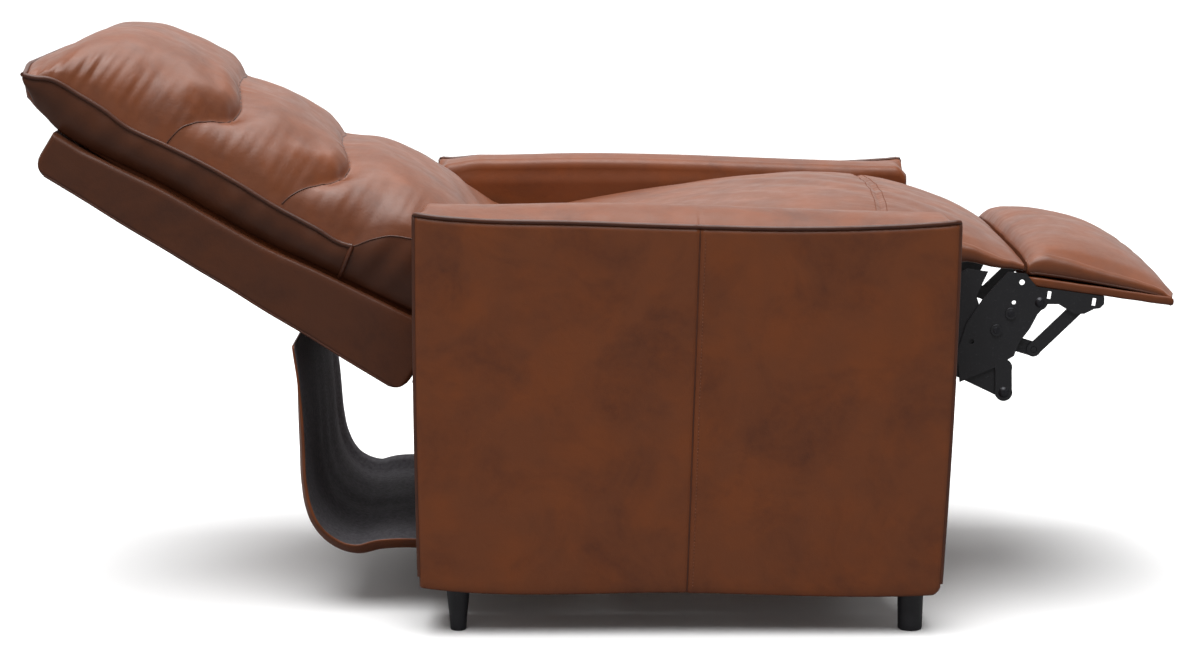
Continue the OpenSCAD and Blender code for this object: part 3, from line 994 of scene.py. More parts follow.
    def build(self) -> None:
        """Builds the skin, welts, a dark cord in the seam groove that paints its shade, and topstitch rows.
        """
        half = self.length / 2
        x_rings = stations(-half, half, 0.0065,
                           [self.seam_top, self.seam_bottom, -half + 0.006, half - 0.006])
        across = np.concatenate([[0, 0.02, 0.05], np.linspace(0.1, 0.74, 15), np.linspace(0.77, 1.0, 16)])
        low_rings = [0, 0.004, 0.01, 0.02]
        up = np.concatenate([low_rings, np.linspace(0.035, 0.9, 74), np.linspace(0.91, 1.0, 22)])
        skin = self.shop.place(block((x_rings, across, up), self.shape), f"arm_skin_{self.side.word}",
                               [self.palette.leather_side], Body.BASE)
        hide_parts(f"arm_cover_{self.side.word}", f"arm_pad_{self.side.word}")
        places = np.linspace(-half + 0.0005, half - 0.0005, 150)
        paths = [[self.edge_point(x, 0.0012, 0.0008) for x in places], self.end_welt(-1), self.end_welt(1)]
        self.cords(paths, self.welt_r, f"arm_welt_{self.side.word}", Body.BASE)
        # A thin dark welt-leather cord sunk in the seam's groove: painted shade for a groove too shallow to
        # shade itself.
        t = np.linspace(0.004, 0.992, 80)
        line = self.shape(self.seam_at(t), np.zeros(80), t)
        line[:, 1] += self.side.value * 0.0002
        self.shop.place(cord_mesh([vectors(line)], 0.0012), f"arm_seam_shade_{self.side.word}",
                        [self.palette.welt], Body.BASE)
        t = np.linspace(0.015, 0.975, 90)
        row = vectors(self.shape(self.seam_at(t) + self.topstitch_gap, np.zeros(90), t))
        self.shop.place(stitches(row, Vector((0, self.side.value, 0))), f"arm_topstitch_{self.side.word}",
                        [self.palette.thread], Body.BASE)

    def end_welt(self, end: int) -> list[Vector]:
        """Welt down the outer upright edge of one end.

        Args:
            end: -1 at the rear or 1 at the front.

        Returns:
            Points from the top to near the bottom.
        """
        x = np.full(90, end * (self.length / 2 - 0.0004))
        up = np.linspace(1.0, 0.03, 90)
        points = self.shape(x, np.zeros(90), up)
        points[:, 1] -= self.side.value * 0.0005
        return vectors(points)


# ---- Back ----------------------------------------------------------------


@dataclass(frozen=True)
class BackSlope:
    """Turns lengths down the back's slope and heights off it into points of the chair."""

    shop: Workshop
    pivot_x: float = -0.259
    pivot_z: float = 0.456
    lean: float = math.radians(32)

    def points(self, s: Array, y: Array, h: Array) -> Array:
        """Points of the chair for arrays of slope length, width and height."""
        c, d = math.cos(self.lean), math.sin(self.lean)
        return self.shop.side_view(self.pivot_x + s * c + h * d, y, self.pivot_z - s * d + h * c)


@dataclass(frozen=True)
class Valley:
    """A sewn valley between two puffs of the back cushion.

    Args:
        line: Slope length of the seam by distance from the middle, both in millimetres.
        depth: How deep the seam pulls in at the middle.
        reach: How far the pull is felt.
        turn: A number that sets where its folds fall.
    """

    line: Profile
    depth: float
    reach: float
    turn: float

    def drawn(self, steps: int = 120) -> Array:
        """Close points of the seam in slope length and width."""
        y = np.linspace(-0.262, 0.262, steps)
        return np.stack([self.place(y), y], axis=-1)

    def place(self, y: Array) -> Array:
        """Slope length of the seam at a distance from the middle, a little straighter on the left."""
        return self.line.at(np.abs(y)) - 0.026 * smooth(y, 0.03, 0.15) * (1 - smooth(y, 0.215, 0.25))


@dataclass
class BackCushion(Upholstery):
    """The back cushion: three stuffed puffs with piping, boxing and sewn valleys."""

    slope: BackSlope
    half: float = 0.262
    narrow: float = 0.255
    roll_r: float = 0.064
    head_end: float = -0.748
    piping_r: float = 0.0034
    welt_end: float = -0.221
    seam_r: float = 0.0011
    ear_start: float = 0.66
    ear: float = 0.006
    waist: float = 0.004
    tail: float = 0.012
    knot_y: float = 0.198
    knot_depth: float = 0.009
    swell: float = 0.005
    pleats: float = 0.0022
    tuck: float = 0.016
    belly: float = 0.007
    nose: float = 0.022
    piping: Profile = Profile((
        (-750, -80), (-734, -76), (-704, -66), (-653, -64), (-618, -64), (-580, -68), (-522, -62),
        (-457, -56), (-405, -54), (-344, -54), (-276, -50), (-232, -48), (-221, -44), (-205, -24),
        (-187, -6), (-150, 12), (-110, 34), (-60, 50), (0, 54)))
    groove: Profile = Profile((
        (-750, -98), (-728, -108), (-697, -115), (-654, -125), (-575, -121), (-493, -113), (-408, -110),
        (-322, -106), (-241, -96), (-156, -88), (-80, -80), (0, -64)))
    crest: Profile = Profile((
        (-750, -93), (-745, -76), (-738, -62), (-724, -43), (-710, -20), (-693, 4), (-669, 24), (-637, 41),
        (-597, 50), (-556, 55), (-520, 54), (-486, 50), (-456, 51), (-412, 58), (-366, 56), (-326, 53),
        (-300, 58), (-271, 69), (-232, 77), (-181, 79), (-135, 75), (-99, 67), (-50, 61), (0, 60)))
    under: Profile = Profile((
        (-750, -112), (-720, -118), (-660, -124), (-91, -124), (-50, -94), (-11, -63), (0, -63)))
    valleys: tuple[Valley, ...] = (
        Valley(Profile(((0, -488), (80, -482), (140, -468), (190, -457), (215, -466), (235, -492),
                        (250, -513), (262, -525))), 0.0105, 0.0095, 1.0),
        Valley(Profile(((0, -316), (80, -309), (140, -293), (190, -281), (215, -288), (235, -308),
                        (250, -328), (262, -345))), 0.0115, 0.0095, 5.0))

    def width_at(self, s: Array) -> Array:
        """Half the cushion's width.

        Args:
            s: Slope lengths.

        Returns:
            Half widths in metres.
        """
        ears = self.ear * smooth(-s, self.ear_start, -self.head_end)
        waist = -self.waist * np.sin(math.pi * np.clip((s - self.head_end) / 0.5, 0, 1))
        return self.half - 0.003 + waist + ears - (self.half - self.narrow) * smooth(s, -0.09, -0.06)

    def corner_pull(self, s: Array, share: Array) -> Array:
        """How far the corners of the head end are drawn down the slope."""
        return self.tail * smooth(share, 0.55, 1.0) * smooth(-s, 0.69, -self.head_end)

    def top(self, s: Array, y: Array) -> Array:
        """Height of the puffed face.

        Args:
            s: Slope lengths.
            y: Distances from the middle.

        Returns:
            Heights off the slope.
        """
        t = np.clip(np.abs(y) / self.width_at(s), 0, 1)
        edge, crest = self.piping.at(s), self.crest.at(s) + 0.002
        across = (1 - t ** (4.6 - 1.9 * smooth(y, -0.06, 0.10))) ** 0.52
        height = edge + (crest - edge) * across
        for valley in self.valleys:
            away = distance_to_line(valley.drawn(), s, y)
            above = s < valley.place(y)
            reach = np.where(above, valley.reach, valley.reach * 2.7)
            fade = 1 - 0.75 * smooth(t, 0.84, 1.0)
            pull = np.exp(-(away / reach) ** 1.25)
            deep = valley.depth * (0.85 + 0.55 * smooth(t, 0.25, 0.7)) * fade
            swell = np.where(above, np.exp(-((away - 0.034) / 0.020) ** 2), 0.0)
            knot = np.hypot(s - valley.place(y), np.abs(y) - self.knot_y)
            height = height - self.knot_depth * np.exp(-(knot / 0.018) ** 1.4)
            height = height - deep * pull + self.swell * swell * fade * smooth(t, 0.1, 0.6)
            pleats = folds(y, s, 0.018, valley.turn) * np.exp(-away / 0.022) * (1 - pull * 0.5)
            height = height + self.pleats * pleats * fade * smooth(t, 0.05, 0.3)
        hem = (1 - t) * self.half
        gathers = folds(s, y, 0.026, 3.0) * np.exp(-hem / 0.030) * smooth(hem, 0.0, 0.006)
        height = height + gathers * (0.0014 + 0.0032 * smooth(-s, 0.57, 0.66))
        height = height + 0.0012 * folds(s + 0.4 * y, y, 0.11, 2.0) * across
        return height

    def shape(self, s: Array, across: Array, up: Array) -> Array:
        """Points of the cushion's skin.

        Args:
            s: Slope lengths.
            across: -1 to 1 over the width.
            up: 0 on the underside to 1 on the puffed face.

        Returns:
            Points in the chair's frame.
        """
        side_t = np.abs(across)
        half = self.width_at(s)
        y = across * half
        face = self.top(s, y)
        groove, piping = self.groove.at(s), self.piping.at(s)
        flank = smooth(side_t, 0.97, 1.0)
        tuck = self.tuck * (1 - up) ** 1.3 * smooth(side_t, 0.9, 1.0)
        belly = self.belly * np.sin(math.pi * np.clip(up, 0, 1)) * flank
        side_wave = 0.0022 * folds(s, up * 0.05, 0.07, 6.0) * np.sin(math.pi * up) * flank
        low = self.under.at(s) + (groove - self.under.at(s)) * smooth(side_t, 0.8, 1.0)
        side_h = groove + (piping - groove) * up
        h = np.where(side_t > 0.999, side_h, low + (face - low) * up)
        y = y - np.sign(across) * (tuck - belly - side_wave)
        end = smooth(s, -0.07, 0.0)
        angle = math.radians(-100) + up * math.radians(190)
        bulge = self.roll_r * np.cos(angle) * smooth(s, -0.03, 0.0)
        h = h * (1 - end) + self.roll_r * np.sin(angle) * end
        nose = smooth(-s, self.ear_start, -self.head_end)
        s = s + np.where(s > -0.03, bulge, 0) + self.nose * nose * (1 - up) ** 1.5
        s = s + self.corner_pull(s, side_t)
        return self.slope.points(s, y, h)

    def build(self) -> None:
        """Builds the cushion and its piping."""
        s_rings = stations(self.head_end, 0.0, 0.0036)
        across = stations(-1.0, 1.0, 0.0195, [-0.965, 0.965], 0.05)
        up = np.linspace(0, 1, 22)
        # The side faces take the second, darker leather: painted shade on the boxing.
        skin = self.shop.place(block((s_rings, across, up), self.shape, lambda n: int(abs(n.y) > 0.5)),
                               "back_cushion", [self.palette.leather, self.palette.boxing], Body.BACK)
        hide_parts("back_cushion_cover", "head_fill", "middle_fill", "lower_fill")
        self.build_piping()

    def build_piping(self) -> None:
        """Builds the piping down both long edges, over the head end and the short seam at its foot."""
        paths = []
        for side in (-1.0, 1.0):
            s = np.linspace(self.head_end, self.welt_end, 200)
            y = side * (self.width_at(s) + 0.0008)
            h = self.piping.at(s) + 0.0008
            paths.append(vectors(self.slope.points(s + self.corner_pull(s, 1.0), y, h)))
            drop = np.linspace(0, 1, 12)
            s = self.welt_end + 0.008 * drop
            h = self.piping.at(s) + (self.groove.at(s) - self.piping.at(s)) * drop
            y = side * (self.width_at(s) - self.tuck * drop ** 1.3 + self.belly * np.sin(math.pi * drop)
                        + 0.0006)
            paths.append(vectors(self.slope.points(s, y, h)))
        t = np.linspace(-1, 1, 80)
        y = t * (self.width_at(np.array([self.head_end]))[0] + 0.0008)
        s = np.full(80, self.head_end - 0.0008)
        h = self.piping.at(s) + 0.0008
        paths.append(vectors(self.slope.points(s + self.corner_pull(s, np.abs(t)), y, h)))
        self.cords(paths, self.piping_r, "back_cushion_piping", Body.BACK)
        seams = []
        for valley in self.valleys:
            y = np.linspace(-1, 1, 260) * (self.half - 0.006)
            s = valley.place(y)
            seams.append(vectors(self.slope.points(s, y, self.top(s, y) + 0.0002)))
        for side in (-1.0, 1.0):
            s = np.linspace(self.welt_end, -0.075, 40)
            y = side * (self.width_at(s) + 0.0002)
            seams.append(vectors(self.slope.points(s, y, self.piping.at(s))))
        self.cords(seams, self.seam_r, "back_cushion_seams", Body.BACK)


@dataclass
class BackBoard(Upholstery):
    """The wrapped board behind the back cushion."""

    slope: BackSlope
    half: float = 0.260
    low_s: float = -0.661
    high_s: float = -0.051
    low_h: float = -0.189
    high_h: float = -0.129
    radius: float = 0.026
    edge_r: float = 0.0075
    groove: Profile = BackCushion.groove

    def shape(self, s: Array, across: Array, up: Array) -> Array:
        """Points of the wrap.

        Args:
            s: Slope lengths.
            across: -1 to 1 over the width.
            up: 0 on the rear face to 1 next to the cushion.

        Returns:
            Points in the chair's frame.
        """
        rim = smooth(np.abs(across), 0.88, 0.96) * smooth(s, -0.645, -0.60)
        rise = np.clip(self.groove.at(s) - 0.004 - self.high_h, 0, None) * rim * smooth(up, 0.5, 1.0)
        h = self.low_h + (self.high_h - self.low_h) * up
        y = across * self.half
        y, h = rounded(y, h, (-self.half, self.half), (self.low_h, self.high_h), self.edge_r)
        s, y = rounded(s, y, (self.low_s, self.high_s), (-self.half, self.half), self.edge_r)
        deep = (self.low_h, self.high_h + self.radius)
        s, h = rounded(s, h, (self.low_s, self.high_s), deep, self.radius)
        h = h - 0.0016 * (0.5 + 0.5 * folds(s, y, 0.19, 2.0)) * smooth(0.5 - up, 0.0, 0.5)
        h = h - 0.002 * smooth(0.5 - up, 0.0, 0.5) * (1 - np.abs(across) ** 4) + rise
        return self.slope.points(s, y, h)

    def build(self) -> None:
        """Builds the wrap and its edge seams."""
        s_rings = stations(self.low_s, self.high_s, 0.009, [self.low_s + 0.012, self.high_s - 0.012])
        across = stations(-1.0, 1.0, 0.035, [-0.98, 0.98], 0.02)
        up = stations(0.0, 1.0, 0.1, [0.07, 0.93], 0.07)
        # The wrap takes the darker boxing leather: painted shade on the board.
        wrap = self.shop.place(block((s_rings, across, up), self.shape), "back_board_wrap",
                               [self.palette.boxing], Body.BACK)
        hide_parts("back_board_cover")
        rows = []
        for side in (-1.0, 1.0):
            s = np.linspace(self.low_s + 0.02, self.high_s - 0.02, 160)
            rows.append(vectors(self.shape(s, np.full(160, side), np.zeros(160))))
        self.cords(rows, 0.0018, "back_board_welt", Body.BACK)


@dataclass
class RearFlap(Upholstery):
    """The leather flap with a black lining that hangs behind the seat."""

    half: float = 0.258
    thick: float = 0.0032
    path: tuple[tuple[float, float], ...] = (
        (-236, 89), (-300, 89), (-360, 88), (-400, 90), (-437, 88), (-466, 82), (-492, 87), (-516, 102),
        (-535, 127), (-545, 156), (-549, 190), (-550, 240), (-551, 300), (-552, 350), (-556, 392))

    def shape(self, run: Array, across: Array, depth: Array) -> Array:
        """Points of the flap.

        Args:
            run: 0 under the seat to 1 at the back board.
            across: -1 on the sitter's right to 1.
            depth: 0 on the leather to 1 on the lining.

        Returns:
            Points in the chair's frame.
        """
        line = np.array(self.path) * MM
        length = np.concatenate([[0], np.cumsum(np.linalg.norm(np.diff(line, axis=0), axis=1))])
        place = run * length[-1]
        x_line = Profile(tuple(zip(length / MM, line[:, 0] / MM)))
        z_line = Profile(tuple(zip(length / MM, line[:, 1] / MM)))
        x, z = x_line.at(place), z_line.at(place)
        ahead, behind = place + 0.002, place - 0.002
        tx, tz = (axis.at(ahead) - axis.at(behind) for axis in (x_line, z_line))
        size = np.maximum(np.hypot(tx, tz), 1e-9)
        inward = np.stack([tz / size, -tx / size])
        free = np.sin(math.pi * np.clip(run, 0, 1))
        slack = free * (0.5 + 0.5 * across)
        wave = 0.004 * folds(across * self.half, place, 0.17, 2.0) * free
        curl = (0.008 + 0.010 * smooth(-place, -0.42, -0.2)) * smooth(np.abs(across), 0.88, 1.0) ** 1.5
        curl = curl * smooth(free, 0.0, 0.7)
        offset = self.thick * (depth - 0.5) + 0.016 * slack + wave + curl
        y = across * self.half + 0.002 * folds(place, across, 0.12, 1.0) * np.abs(across)
        return self.shop.side_view(x + inward[0] * offset, y, z + inward[1] * offset)

    def build(self) -> None:
        """Builds the flap and its lining."""
        run = np.linspace(0, 1, 110)
        across = np.linspace(-1, 1, 46)
        shape = block((run, across, np.array([0.0, 0.5, 1.0])), self.shape, lambda n: 1 if n.z > 0.5 else 0)
        flap = self.shop.place(shape, "rear_flap_sheet", [self.palette.leather_side, self.palette.lining],
                               None)
        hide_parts("rear_flap")
        low, high = self.path[4], self.path[-2]
        start = self.shop.point(low[0] * MM, 0, low[1] * MM)
        end = self.shop.point(high[0] * MM, 0, high[1] * MM)
        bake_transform(flap)


# ---- Seat and footrest ---------------------------------------------------


@dataclass
class SeatCushion(Upholstery):
    """The crowned seat cushion with its cross seam and front lip."""

    half: float = 0.2605
    rear: float = -0.196
    front: float = 0.484
    seam_x: float = 0.281
    seam_bend: float = 0.010
    seam_depth: float = 0.0042
    edge_r: float = 0.016
    stitch_gap: float = 0.008
    lip_r: float = 0.0024
    crown: Profile = Profile((
        (-196, 534), (-120, 552), (-52, 564), (0, 573), (65, 583), (129, 591), (200, 596), (252, 595),
        (300, 590), (350, 579), (390, 567), (424, 554), (449, 541), (470, 527), (484, 513)))
    edge: Profile = Profile((
        (-196, 528), (0, 558), (129, 572), (200, 576), (300, 566), (350, 555), (393, 541), (424, 530),
        (448, 519), (470, 513), (484, 508)))
    under: Profile = Profile((
        (-196, 484), (300, 484), (345, 486), (370, 498), (394, 510), (440, 504), (484, 499)))

    def seam_at(self, across: Array) -> Array:
        """Place of the cross seam from rear to front, bowed to the front in the middle."""
        return self.seam_x + self.seam_bend * (1 - across ** 2)

    def shape(self, x: Array, across: Array, up: Array) -> Array:
        """Points of the seat's skin.

        Args:
            x: Places from rear to front.
            across: -1 to 1 over the width.
            up: 0 underneath to 1 on top.

        Returns:
            Points in the chair's frame.
        """
        t = np.abs(across)
        edge, crown, low = self.edge.at(x), self.crown.at(x), self.under.at(x)
        top = edge + (crown - edge) * (1 - t ** 3.0) ** 0.85
        seam = np.abs(x - self.seam_at(t))
        dip = self.seam_depth / (1 + (seam / 0.0045) ** 2)
        pleats = 0.0011 * folds(across * self.half, x, 0.024, 1.0) * np.exp(-seam / 0.02)
        rim = (1 - t) * self.half
        gathers = 0.0005 * folds(x, across, 0.045, 4.0) * np.exp(-rim / 0.02)
        broad = 0.0016 * folds(x + 0.3 * across, across * self.half, 0.16, 3.0) * (1 - t ** 4)
        top = top - dip + pleats + gathers + broad
        z = low + (top - low) * up
        depth = np.minimum((edge - low) / 2, self.edge_r)
        y = across * self.half - bull_edge(across, up, 0.84, depth, 2.6)
        y = y - np.sign(across) * 0.004 * smooth(x, 0.45, self.front)
        return self.shop.side_view(x, y, z)

    def build(self) -> None:
        """Builds the cushion and the stitches beside its cross seam."""
        fine = [self.seam_x + 0.003, self.seam_x + 0.009, self.front - 0.006]
        x_rings = stations(self.rear, self.front, 0.0062, fine, 0.009)
        across = stations(-1.0, 1.0, 0.018, [-0.98, 0.98], 0.018)
        up = (1 - np.cos(np.linspace(0, math.pi, 19))) / 2
        skin = self.shop.place(block((x_rings, across, up), self.shape), "seat_cushion",
                               [self.palette.leather], Body.SEAT)
        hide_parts("seat_cover", "seat_foam")
        rows = []
        for beside in (-self.stitch_gap, self.stitch_gap):
            t = np.linspace(-0.97, 0.97, 120)
            row = vectors(self.shape(self.seam_at(t) + beside, t, np.ones(120)))
            rows.append(stitches(row, Vector((0, 0, 1))))
        self.shop.place(merged(rows), "seat_topstitch", [self.palette.thread], Body.SEAT)
        t = np.linspace(-1.0, 1.0, 90)
        lip = self.shape(np.full(90, self.front), t, np.full(90, 0.35))
        self.cords([vectors(lip)], self.lip_r, "seat_lip_welt", Body.SEAT)


@dataclass
class Footrest(Upholstery):
    """The footrest's padded top and its wrapped board."""

    half: float = 0.2605
    rear: float = 0.488
    tip: float = 0.697
    edge_r: float = 0.014
    board_z: float = 0.4795
    board_fall: float = 0.145
    board_thick: float = 0.012
    welt_r: float = 0.0019
    crown: Profile = Profile((
        (488, 516), (496, 528), (510, 536), (530, 541), (560, 541), (590, 536), (622, 527), (660, 508),
        (685, 490), (697, 474)))
    edge: Profile = Profile((
        (488, 509), (496, 517), (511, 522), (540, 517), (590, 502), (640, 487), (676, 475), (690, 469),
        (697, 463)))
    under: Profile = Profile(((488, 493.5), (591, 478.5), (662, 466), (690, 459.5), (697, 458)))

    def board_line(self, x: Array) -> Array:
        """Height of the board's underside."""
        return self.board_z - self.board_fall * (x - self.rear)

    def pad(self, x: Array, across: Array, up: Array) -> Array:
        """Points of the pad's skin.

        Args:
            x: Places from the seat to the tip.
            across: -1 to 1 over the width.
            up: 0 underneath to 1 on top.

        Returns:
            Points in the chair's frame.
        """
        t = np.abs(across)
        edge, crown, low = self.edge.at(x), self.crown.at(x), self.under.at(x)
        top = edge + (crown - edge) * (1 - t ** 3.2) ** 0.85
        rim = (1 - t) * self.half
        top = top + 0.0004 * folds(x, across, 0.045, 2.0) * np.exp(-rim / 0.02)
        top = top + 0.0012 * folds(across * self.half, x, 0.15, 5.0) * (1 - t ** 4)
        top = top + 0.0006 * folds(across * self.half, x, 0.030, 1.0) * np.exp(-(x - self.rear) / 0.022)
        z = low + (top - low) * up
        depth = np.minimum((edge - low) / 2, self.edge_r)
        taper = 0.002 * smooth(x, self.tip - 0.05, self.tip)
        y = across * (self.half - taper) - bull_edge(across, up, 0.86, depth, 2.4)
        corner = 0.006 * smooth(t, 0.90, 1.0) * smooth(x, self.tip - 0.03, self.tip)
        nose = 0.004 * np.sin(math.pi * up) * smooth(x, self.tip - 0.004, self.tip)
        return self.shop.side_view(x - corner + nose, y, z)

    def board(self, x: Array, across: Array, up: Array) -> Array:
        """Points of the wrapped board.

        Args:
            x: Places from the seat to the tip.
            across: -1 to 1 over the width.
            up: 0 underneath to 1 against the pad.

        Returns:
            Points in the chair's frame.
        """
        over = np.abs(up * 2 - 1)
        fold = 0.004 * (1 - np.sqrt(np.clip(1 - over ** 2.4, 0, 1)))
        y = across * (self.half + 0.0018) - np.sign(across) * 0.3 * fold * smooth(np.abs(across), 0.98, 1.0)
        end = fold * smooth(x, 0.690, self.tip)
        z = self.board_line(x) + self.board_thick * up + 0.0004 * folds(x, y, 0.06, 1.0)
        return self.shop.side_view(x - end, y, z)

    def build(self) -> None:
        """Builds the pad, the board's wrap and the welt between them."""
        x_rings = stations(self.rear, self.tip, 0.0048, [self.rear + 0.01, self.tip - 0.008], 0.009)
        across = stations(-1.0, 1.0, 0.018, [-0.98, 0.98], 0.018)
        up = (1 - np.cos(np.linspace(0, math.pi, 17))) / 2
        pad = self.shop.place(block((x_rings, across, up), self.pad), "footrest_cushion",
                              [self.palette.leather], Body.FOOTREST)
        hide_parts("footrest_cover", "footrest_pad")
        x_rings = stations(self.rear + 0.002, self.tip, 0.012, [0.693], 0.004)
        wrap = self.shop.place(block((x_rings, across, np.linspace(0, 1, 7)), self.board),
                               "footrest_board_wrap", [self.palette.leather_side], Body.FOOTREST)
        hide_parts("footrest_board_cover")
        x = np.linspace(self.rear + 0.004, self.tip - 0.003, 90)
        seams = []
        for side in (-1.0, 1.0):
            seams.append(vectors(self.pad(x, np.full(90, side), np.full(90, 0.14))))
        t = np.linspace(-1, 1, 80)
        seams.append(vectors(self.pad(np.full(80, self.tip), t, np.full(80, 0.14))))
        self.cords(seams, self.welt_r, "footrest_welt", Body.FOOTREST)


# ---- Apron, feet and mechanism -------------------------------------------


@dataclass
class FrontApron(Upholstery):
    """Leather wrapped over the rail between the arms at the front."""

    rear: float = 0.2986
    front: float = 0.3236
    low: float = 0.0684
    high: float = 0.1518
    half: float = 0.2662

    def shape(self, x: Array, across: Array, up: Array) -> Array:
        """Points of the wrap.

        Args:
            x: Places from rear to front.
            across: -1 to 1 over the width.
            up: 0 at the bottom to 1 at the top.

        Returns:
            Points in the chair's frame.
        """
        middle, reach = (self.rear + self.front) / 2, (self.front - self.rear) / 2
        z = self.low + (self.high - self.low) * up
        x, z = rounded(x, z, (middle - reach, middle + reach), (self.low, self.high), 0.002)
        x = x + 0.0006 * folds(z, across, 0.09, 1.0) * np.sign(x - middle)
        return self.shop.side_view(x, across * self.half, z)

    def build(self) -> None:
        """Builds the wrap."""
        rings = (np.linspace(self.rear, self.front, 5), np.linspace(-1, 1, 40), np.linspace(0, 1, 16))
        self.shop.place(block(rings, self.shape), "front_apron", [self.palette.leather_side], Body.BASE)


@dataclass
class Feet(Upholstery):
    """Moulded plastic feet: tapered at the rear, stout at the front."""

    def build(self) -> None:
        """Builds the four feet in the place of the plain ones."""
        for side in Side:
            for end, profile in (
                    ("front", ((0, 0), (15.2, 0), (16.6, 0.8), (17.2, 2.4), (17.5, 20), (18.4, 53),
                               (19.2, 55.5), (19.2, 57.4), (0, 58))),
                    ("rear", ((0, 0), (9.6, 0), (10.8, 0.7), (11.4, 2.2), (12.6, 20), (17.1, 63),
                              (18.2, 65.5), (18.2, 67.6), (0, 68.6)))):
                name = f"foot_{end}_{side.word}"
                low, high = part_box(name)
                centre = Vector(((low.x + high.x) / 2, (low.y + high.y) / 2, 0))
                foot = self.shop.place(turned(profile, centre, Vector((0, 0, 1)), 48), f"moulded_{name}",
                                       [self.palette.plastic], Body.BASE, "foot_plastic")
                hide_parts(name)


@dataclass
class Mechanism(Upholstery):
    """Rivet heads, washers and the finish of the steel plates and links."""

    rivets: tuple[tuple[Body, float, float, float, float], ...] = (
        (Body.CURVED_PLATES, 0.465, 0.439, 0.2658, 8.6),
        (Body.CURVED_PLATES, 0.445, 0.415, 0.2658, 8.6),
        (Body.CURVED_PLATES, 0.506, 0.455, 0.2658, 7.6),
        (Body.CURVED_PLATES, 0.4574, 0.325, 0.2658, 8.0))

    def build(self) -> None:
        """Builds domed heads on the outer faces of the plates."""
        head = ((0, 2.9), (2.6, 2.7), (5.0, 2.0), (6.6, 1.0), (7.0, 0.2), (8.0, 0.1), (8.2, -0.3), (0, -0.4))
        by_body: dict[Body, list[Shape]] = {}
        for body, x, z, y, radius in self.rivets:
            for side in Side:
                profile = tuple((r * radius / 8.2, h) for r, h in head)
                centre = self.shop.point(x, y * side.value, z)
                by_body.setdefault(body, []).append(turned(profile, centre, Vector((0, side.value, 0)), 28))
        for body, shapes in by_body.items():
            self.shop.place(merged(shapes), f"rivet_heads_{body.value}", [self.palette.bright_steel], body,
                            "mechanism_steel")

    def dress(self) -> None:
        """Gives every node of the frame that shows or may show its finish."""
        chosen = {"leather": self.palette.leather_side, "mechanism_steel": self.palette.steel,
                  "spring_wire": self.palette.wire, "foot_plastic": self.palette.plastic,
                  "frame_wood": self.palette.plywood, "foam": self.palette.foam,
                  "fibre_fill": self.palette.casing, "webbing": self.palette.webbing}
        for part in frame["record"]["subparts"]:
            node = frame["nodes"][part["node"]]
            node.data.materials.clear()
            node.data.materials.append(chosen[part["material_slot"]])


# ---- Studio --------------------------------------------------------------


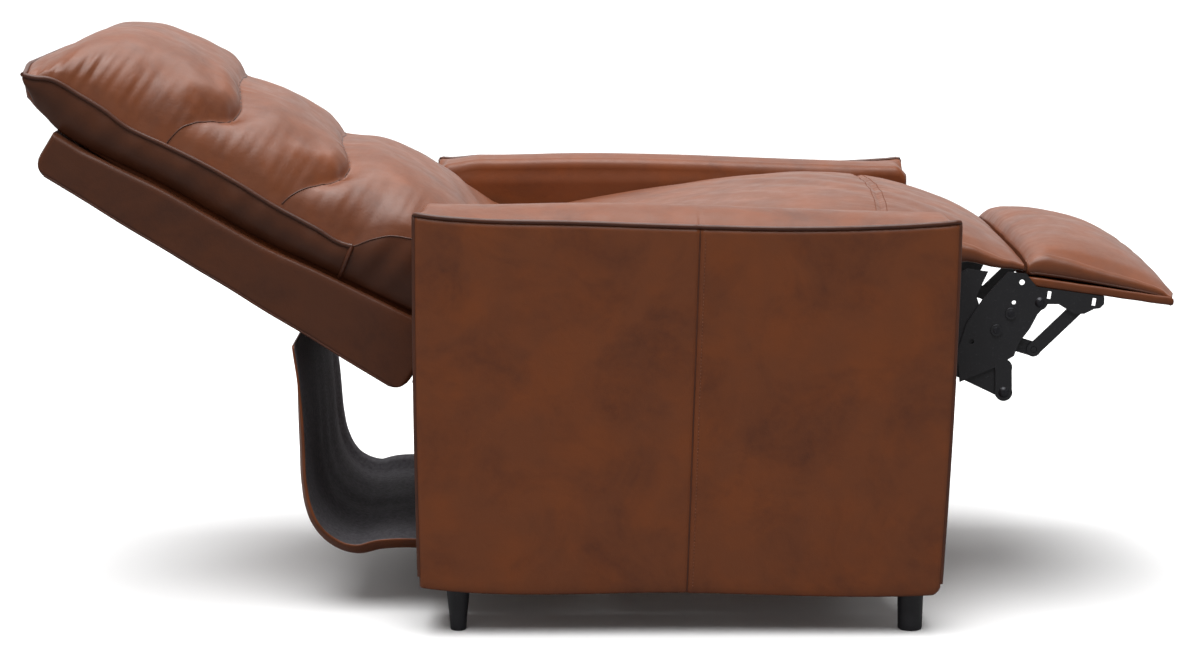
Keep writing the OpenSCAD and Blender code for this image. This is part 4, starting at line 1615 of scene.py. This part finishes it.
@dataclass
class Studio:
    """Camera, floor and soft lights."""

    eye: tuple[float, float, float] = (-0.0360, -4.3235, 1.1183)
    down: float = 0.1708
    turn: float = -0.0071
    focal_pixels: float = 2898.8
    sensor: float = 36.0
    floor_tone: float = 0.95
    bounce: float = 0.22

    def camera(self) -> None:
        """Sets the camera at its measured place."""
        data = bpy.data.cameras.new("Camera")
        data.sensor_width = self.sensor
        data.lens = self.focal_pixels / IMAGE_WIDTH * self.sensor
        eye = bpy.data.objects.new("Camera", data)
        eye.location = self.eye
        eye.rotation_euler = (math.pi / 2 - self.down, 0, self.turn)
        bpy.context.scene.collection.objects.link(eye)
        bpy.context.scene.camera = eye

    def lamp(self, name: str, place: tuple[float, float, float], aim: tuple[float, float, float], size: float,
             power: float) -> None:
        """Adds one soft square lamp.

        Args:
            name: Name of the lamp.
            place: Where it hangs.
            aim: What it points at.
            size: Side of its square.
            power: Watts.
        """
        data = bpy.data.lights.new(name, "AREA")
        data.size = size
        data.energy = power
        lamp = bpy.data.objects.new(name, data)
        lamp.location = place
        lamp.rotation_euler = (Vector(aim) - Vector(place)).to_track_quat("-Z", "Y").to_euler()
        bpy.context.scene.collection.objects.link(lamp)

    def floor(self) -> None:
        """Lays a plain pale floor."""
        shape = bmesh.new()
        bmesh.ops.create_grid(shape, x_segments=1, y_segments=1, size=40.0)
        mesh = bpy.data.meshes.new("floor")
        shape.to_mesh(mesh)
        shape.free()
        floor = bpy.data.objects.new("floor", mesh)
        bpy.context.scene.collection.objects.link(floor)
        material, bench, shader, _ = start_finish("PaleFloor", 0.9)
        seen = bench.node("LightPath").outputs["Is Camera Ray"]
        tone = bench.blend(seen, (self.bounce,) * 3 + (1.0,), (self.floor_tone,) * 3 + (1.0,))
        bench.join(tone, shader.inputs["Base Color"])
        shader.inputs["Specular IOR Level"].default_value = 0.0
        mesh.materials.append(material)

    def build(self) -> None:
        """Sets the whole studio."""
        self.camera()
        scene = bpy.context.scene
        scene.view_settings.view_transform = "Standard"
        self.world(scene)
        self.floor()
        self.sun("SkySoftlight", (0.05, 0.35, -1.0), 3.4, 50.0)
        self.lamp("OverheadSoftbox", (-0.2, 0.6, 2.9), (-0.1, 0.0, 0.5), 2.0, 36.0)
        self.lamp("FrontFill", (-1.6, -4.2, 2.2), (0.0, 0.0, 0.4), 2.6, 9.0)

    def world(self, scene: bpy.types.Scene) -> None:
        """Surrounds the chair with a bright wall behind and a dim room in front.

        Args:
            scene: The scene to light.
        """
        world = bpy.data.worlds.new("StudioWorld")
        world.use_nodes = True
        bench = Bench(world.node_tree)
        turned_to = bench.node("SeparateXYZ", {0: bench.node("TexCoord").outputs["Generated"]})
        glow = bench.spread(turned_to.outputs["Y"], -0.25, 0.55, 0.09, 0.9)
        sky = world.node_tree.nodes["Background"]
        sky.inputs["Color"].default_value = (1.0, 1.0, 1.0, 1.0)
        bench.join(glow, sky.inputs["Strength"])
        scene.world = world

    def sun(self, name: str, aim: tuple[float, float, float], strength: float, spread: float) -> None:
        """Adds a wide soft light that reaches the whole floor evenly.

        Args:
            name: Name of the light.
            aim: Direction in which it shines.
            strength: Its strength.
            spread: Angle over which it is spread, in degrees.
        """
        data = bpy.data.lights.new(name, "SUN")
        data.energy = strength
        data.angle = math.radians(spread)
        light = bpy.data.objects.new(name, data)
        light.rotation_euler = Vector(aim).to_track_quat("-Z", "Y").to_euler()
        bpy.context.scene.collection.objects.link(light)


def main() -> None:
    """Builds the chair's looks piece by piece and reports each."""
    logging.basicConfig(level=logging.INFO, format="%(message)s")
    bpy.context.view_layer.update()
    low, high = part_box("arm_cover_left")
    shop = Workshop((low.x + high.x) / 2)
    palette = Palette.made()
    slope = BackSlope(shop)
    mechanism = Mechanism(shop, palette)
    mechanism.dress()
    Studio().build()
    for piece in (Arm(shop, palette, Side.LEFT), Arm(shop, palette, Side.RIGHT),
                  BackCushion(shop, palette, slope), BackBoard(shop, palette, slope), RearFlap(shop, palette),
                  SeatCushion(shop, palette), Footrest(shop, palette), FrontApron(shop, palette),
                  Feet(shop, palette), mechanism):
        piece.build()
        log.info("built %s", type(piece).__name__)


if __name__ == "__main__":
    main()
